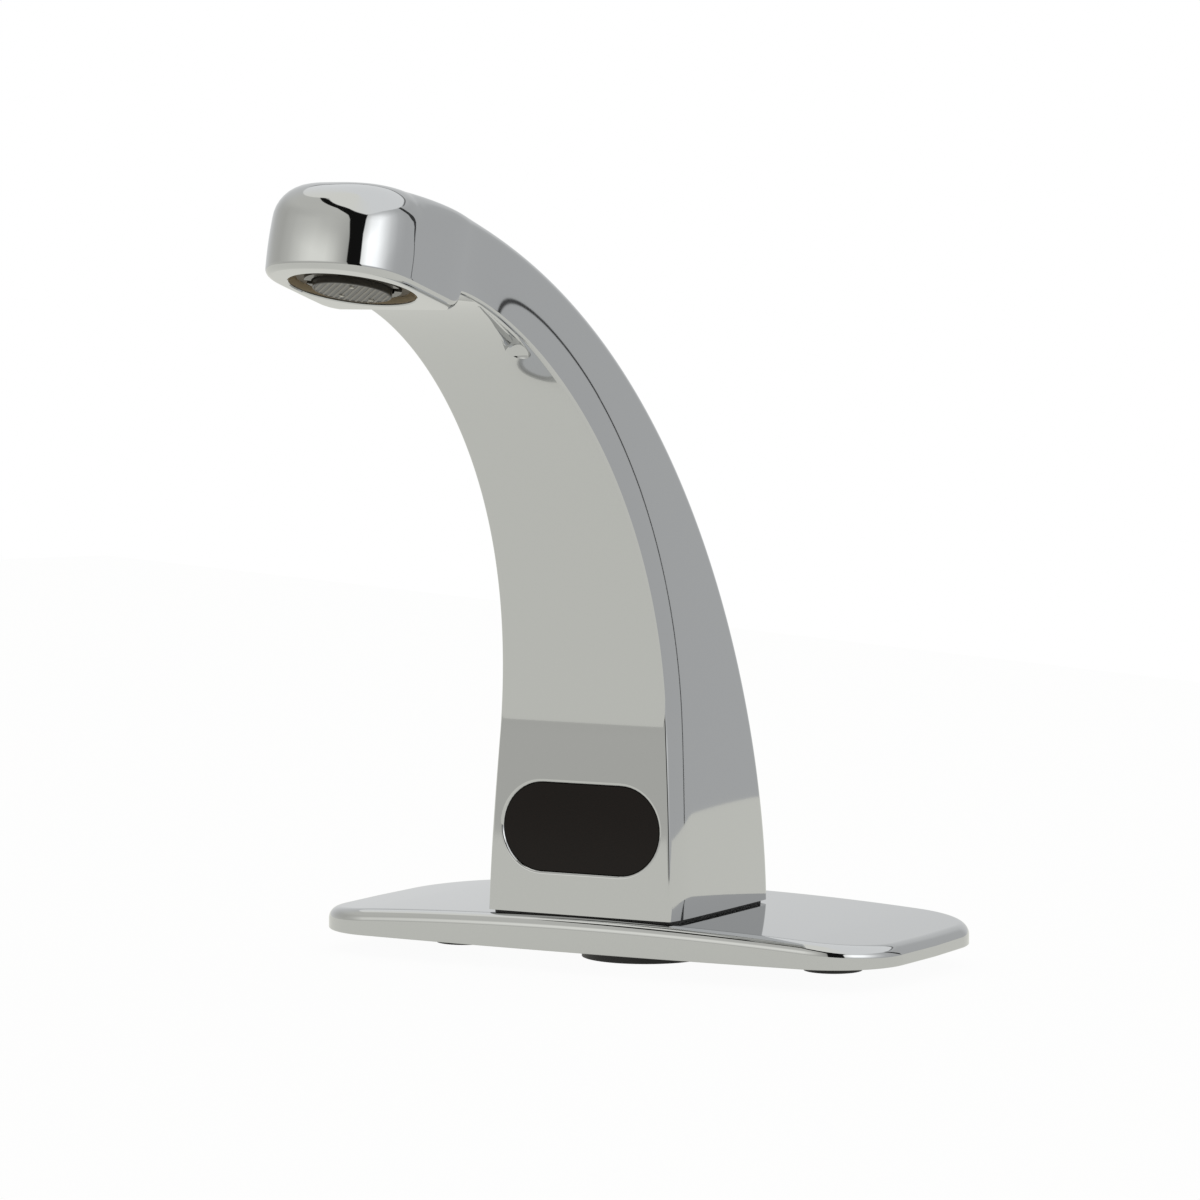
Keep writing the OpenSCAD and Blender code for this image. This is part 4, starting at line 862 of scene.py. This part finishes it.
seen = sheet.node("ShaderNodeLightPath", output="Is Camera Ray")
mirrored = sheet.node("ShaderNodeLightPath", output="Is Glossy Ray")
pale = sheet.node("ShaderNodeBsdfDiffuse", {"Color": table_colour})
white = sheet.node("ShaderNodeEmission", {"Color": plain_white, "Strength": 1.0})
cloth = sheet.node("ShaderNodeEmission", {"Color": table_mirrored_colour, "Strength": 1.0})
lit = sheet.node("ShaderNodeMixShader", [mirrored * table_mirrored_share, pale, cloth])
both = sheet.node("ShaderNodeMixShader", [seen * table_seen_share, lit, white])
sheet.raw("ShaderNodeOutputMaterial", [both])
floor.data.materials.append(floor_paint)

world = bpy.data.worlds.new("tent")
bpy.context.scene.world = world
sheet = Sheet(world)
ray = sheet.node("ShaderNodeTexCoord", output="Generated")
split = sheet.raw("ShaderNodeSeparateXYZ", [ray])
east, north, up = (Wire(sheet, split.outputs[axis]) for axis in "XYZ")
bearing = east.maths("ARCTAN2", north * -1) * degrees(1)
height = up.maths("ARCSINE") * degrees(1)
brightest = 2


def tones(value, stops):
    """The tones of these stops, (place, tone), with even runs between them. A ramp's own tones end at 1."""
    low, high = stops[0][0], stops[-1][0]
    ramp = [((place - low) / (high - low), tone / brightest) for place, tone in stops]
    return sheet.node("ShaderNodeValToRGB", [(value + -low) * (1 / (high - low))], stops=ramp) * brightest


# Tones round the tent, by bearings in degrees from the front towards the right: at the lamps' height and at
# the table's edge. The heights say how much of the lamps' tones is seen there. Above hangs plain cloth.
lamp_tones = (
    (-180, 0.72), (-140, 0.78), (-105, 0.62), (-80, 0.6), (-60, 0.72), (-45, 0.92), (-33, 1.15), (-15, 1.15),
    (-3, 0.95), (8, 0.7), (20, 0.5), (45, 1.3), (58, 1.95), (74, 1.8), (86, 1.3), (96, 0.95), (110, 0.68),
    (125, 0.6), (168, 0.61), (180, 0.72))
skirt_tones = ((-180, 0.72), (-120, 0.76), (-60, 0.62), (90, 0.6), (168, 0.6), (180, 0.72))
lamp_heights = ((-5, 0), (1, 0.05), (10, 0.85), (16, 1), (22, 1), (31, 0.3), (45, 0))
cloth_tone = 0.74
cloth_height = 34
cloth_soft = 14
wall = tones(bearing, skirt_tones).to(tones(bearing, lamp_tones), tones(height, lamp_heights))
tone = wall.to(cloth_tone, height.past(cloth_height, cloth_soft))

# The slot for the camera, between two bearings, which opens out above
slot_from = 20.5
slot_to = 44.5
slot_top = 60
slot_soft = 2
slot_tone = 0.01
flare_height = 26
flare_from_share = 0.094
flare_to_share = 0.8
over = (height - flare_height).maths("MAXIMUM", 0)
slot = ((bearing + over * over * flare_from_share).past(slot_from, slot_soft)
        * (1 - (bearing - over * flare_to_share).past(slot_to, slot_soft))
        * (1 - height.past(slot_top, slot_soft)))
tone = tone.to(slot_tone, slot)

# The roof light, which hangs low at the right and high at the front left, with a dark hem behind. Its edge
# is given by bearings, as a share of the way straight up.
roof_shares = ((-180, 0.43), (-142, 0.37), (-110, 0.5), (-60, 0.69), (-25, 0.61), (0, 0.55), (25, 0.45),
               (48, 0.37), (124, 0.38), (150, 0.42), (180, 0.43))
straight_up = 90
roof_tone = 1.05
roof_soft = 1.5
hem_tone = 0.25
hem_drop = 2
hem_soft = 0.6
hem_north = 0.58
hem_north_soft = 0.1
in_roof = height - tones(bearing, roof_shares) * straight_up
tone = tone.to(hem_tone, in_roof.past(-hem_drop, hem_soft) * north.past(hem_north, hem_north_soft))
tone = tone.to(roof_tone, in_roof.past(0, roof_soft))

# A seam behind on the right, which leans and widens upwards as far as the roof light
seam_bearing = 143.5
seam_lean = 0.6
seam_half = 0.45
seam_soft = 0.4
seam_even_height = 2
seam_widening_height = 8
seam_widening = 0.4
seam_roof_soft = 2
seam_tone = 0.06
above = height.maths("MAXIMUM", 0)
seam_side = (bearing + above * seam_lean - seam_bearing).maths("ABSOLUTE")
seam_height = (above - seam_even_height).maths("MAXIMUM", 0).maths("MINIMUM", seam_widening_height)
seam = ((1 - (seam_side - seam_height * seam_widening).past(seam_half, seam_soft))
        * (1 - in_roof.past(0, seam_roof_soft)))
tone = tone.to(seam_tone, seam)

# The cloth at the front and on the left is a little warmer than the rest
warm_from = -110
warm_to = 40
warm_soft = 60
cool_tint = (0.985, 1, 1.005, 1)
warm_tint = (1, 1, 0.94, 1)
warm = bearing.past(warm_from, warm_soft) * (1 - bearing.past(warm_to, warm_soft))
tint = sheet.node("ShaderNodeMix", {"Factor": warm, "A": cool_tint, "B": warm_tint},
                  output="Result", data_type="RGBA")
tent = sheet.node("ShaderNodeBackground", {"Color": tint, "Strength": tone})
plain = sheet.node("ShaderNodeBackground", {"Color": plain_white, "Strength": 1.0})
shown = sheet.node("ShaderNodeLightPath", output="Is Camera Ray")
both = sheet.node("ShaderNodeMixShader", [shown, tent, plain])
sheet.raw("ShaderNodeOutputWorld", [both])

bpy.context.scene.view_settings.view_transform = "Standard"
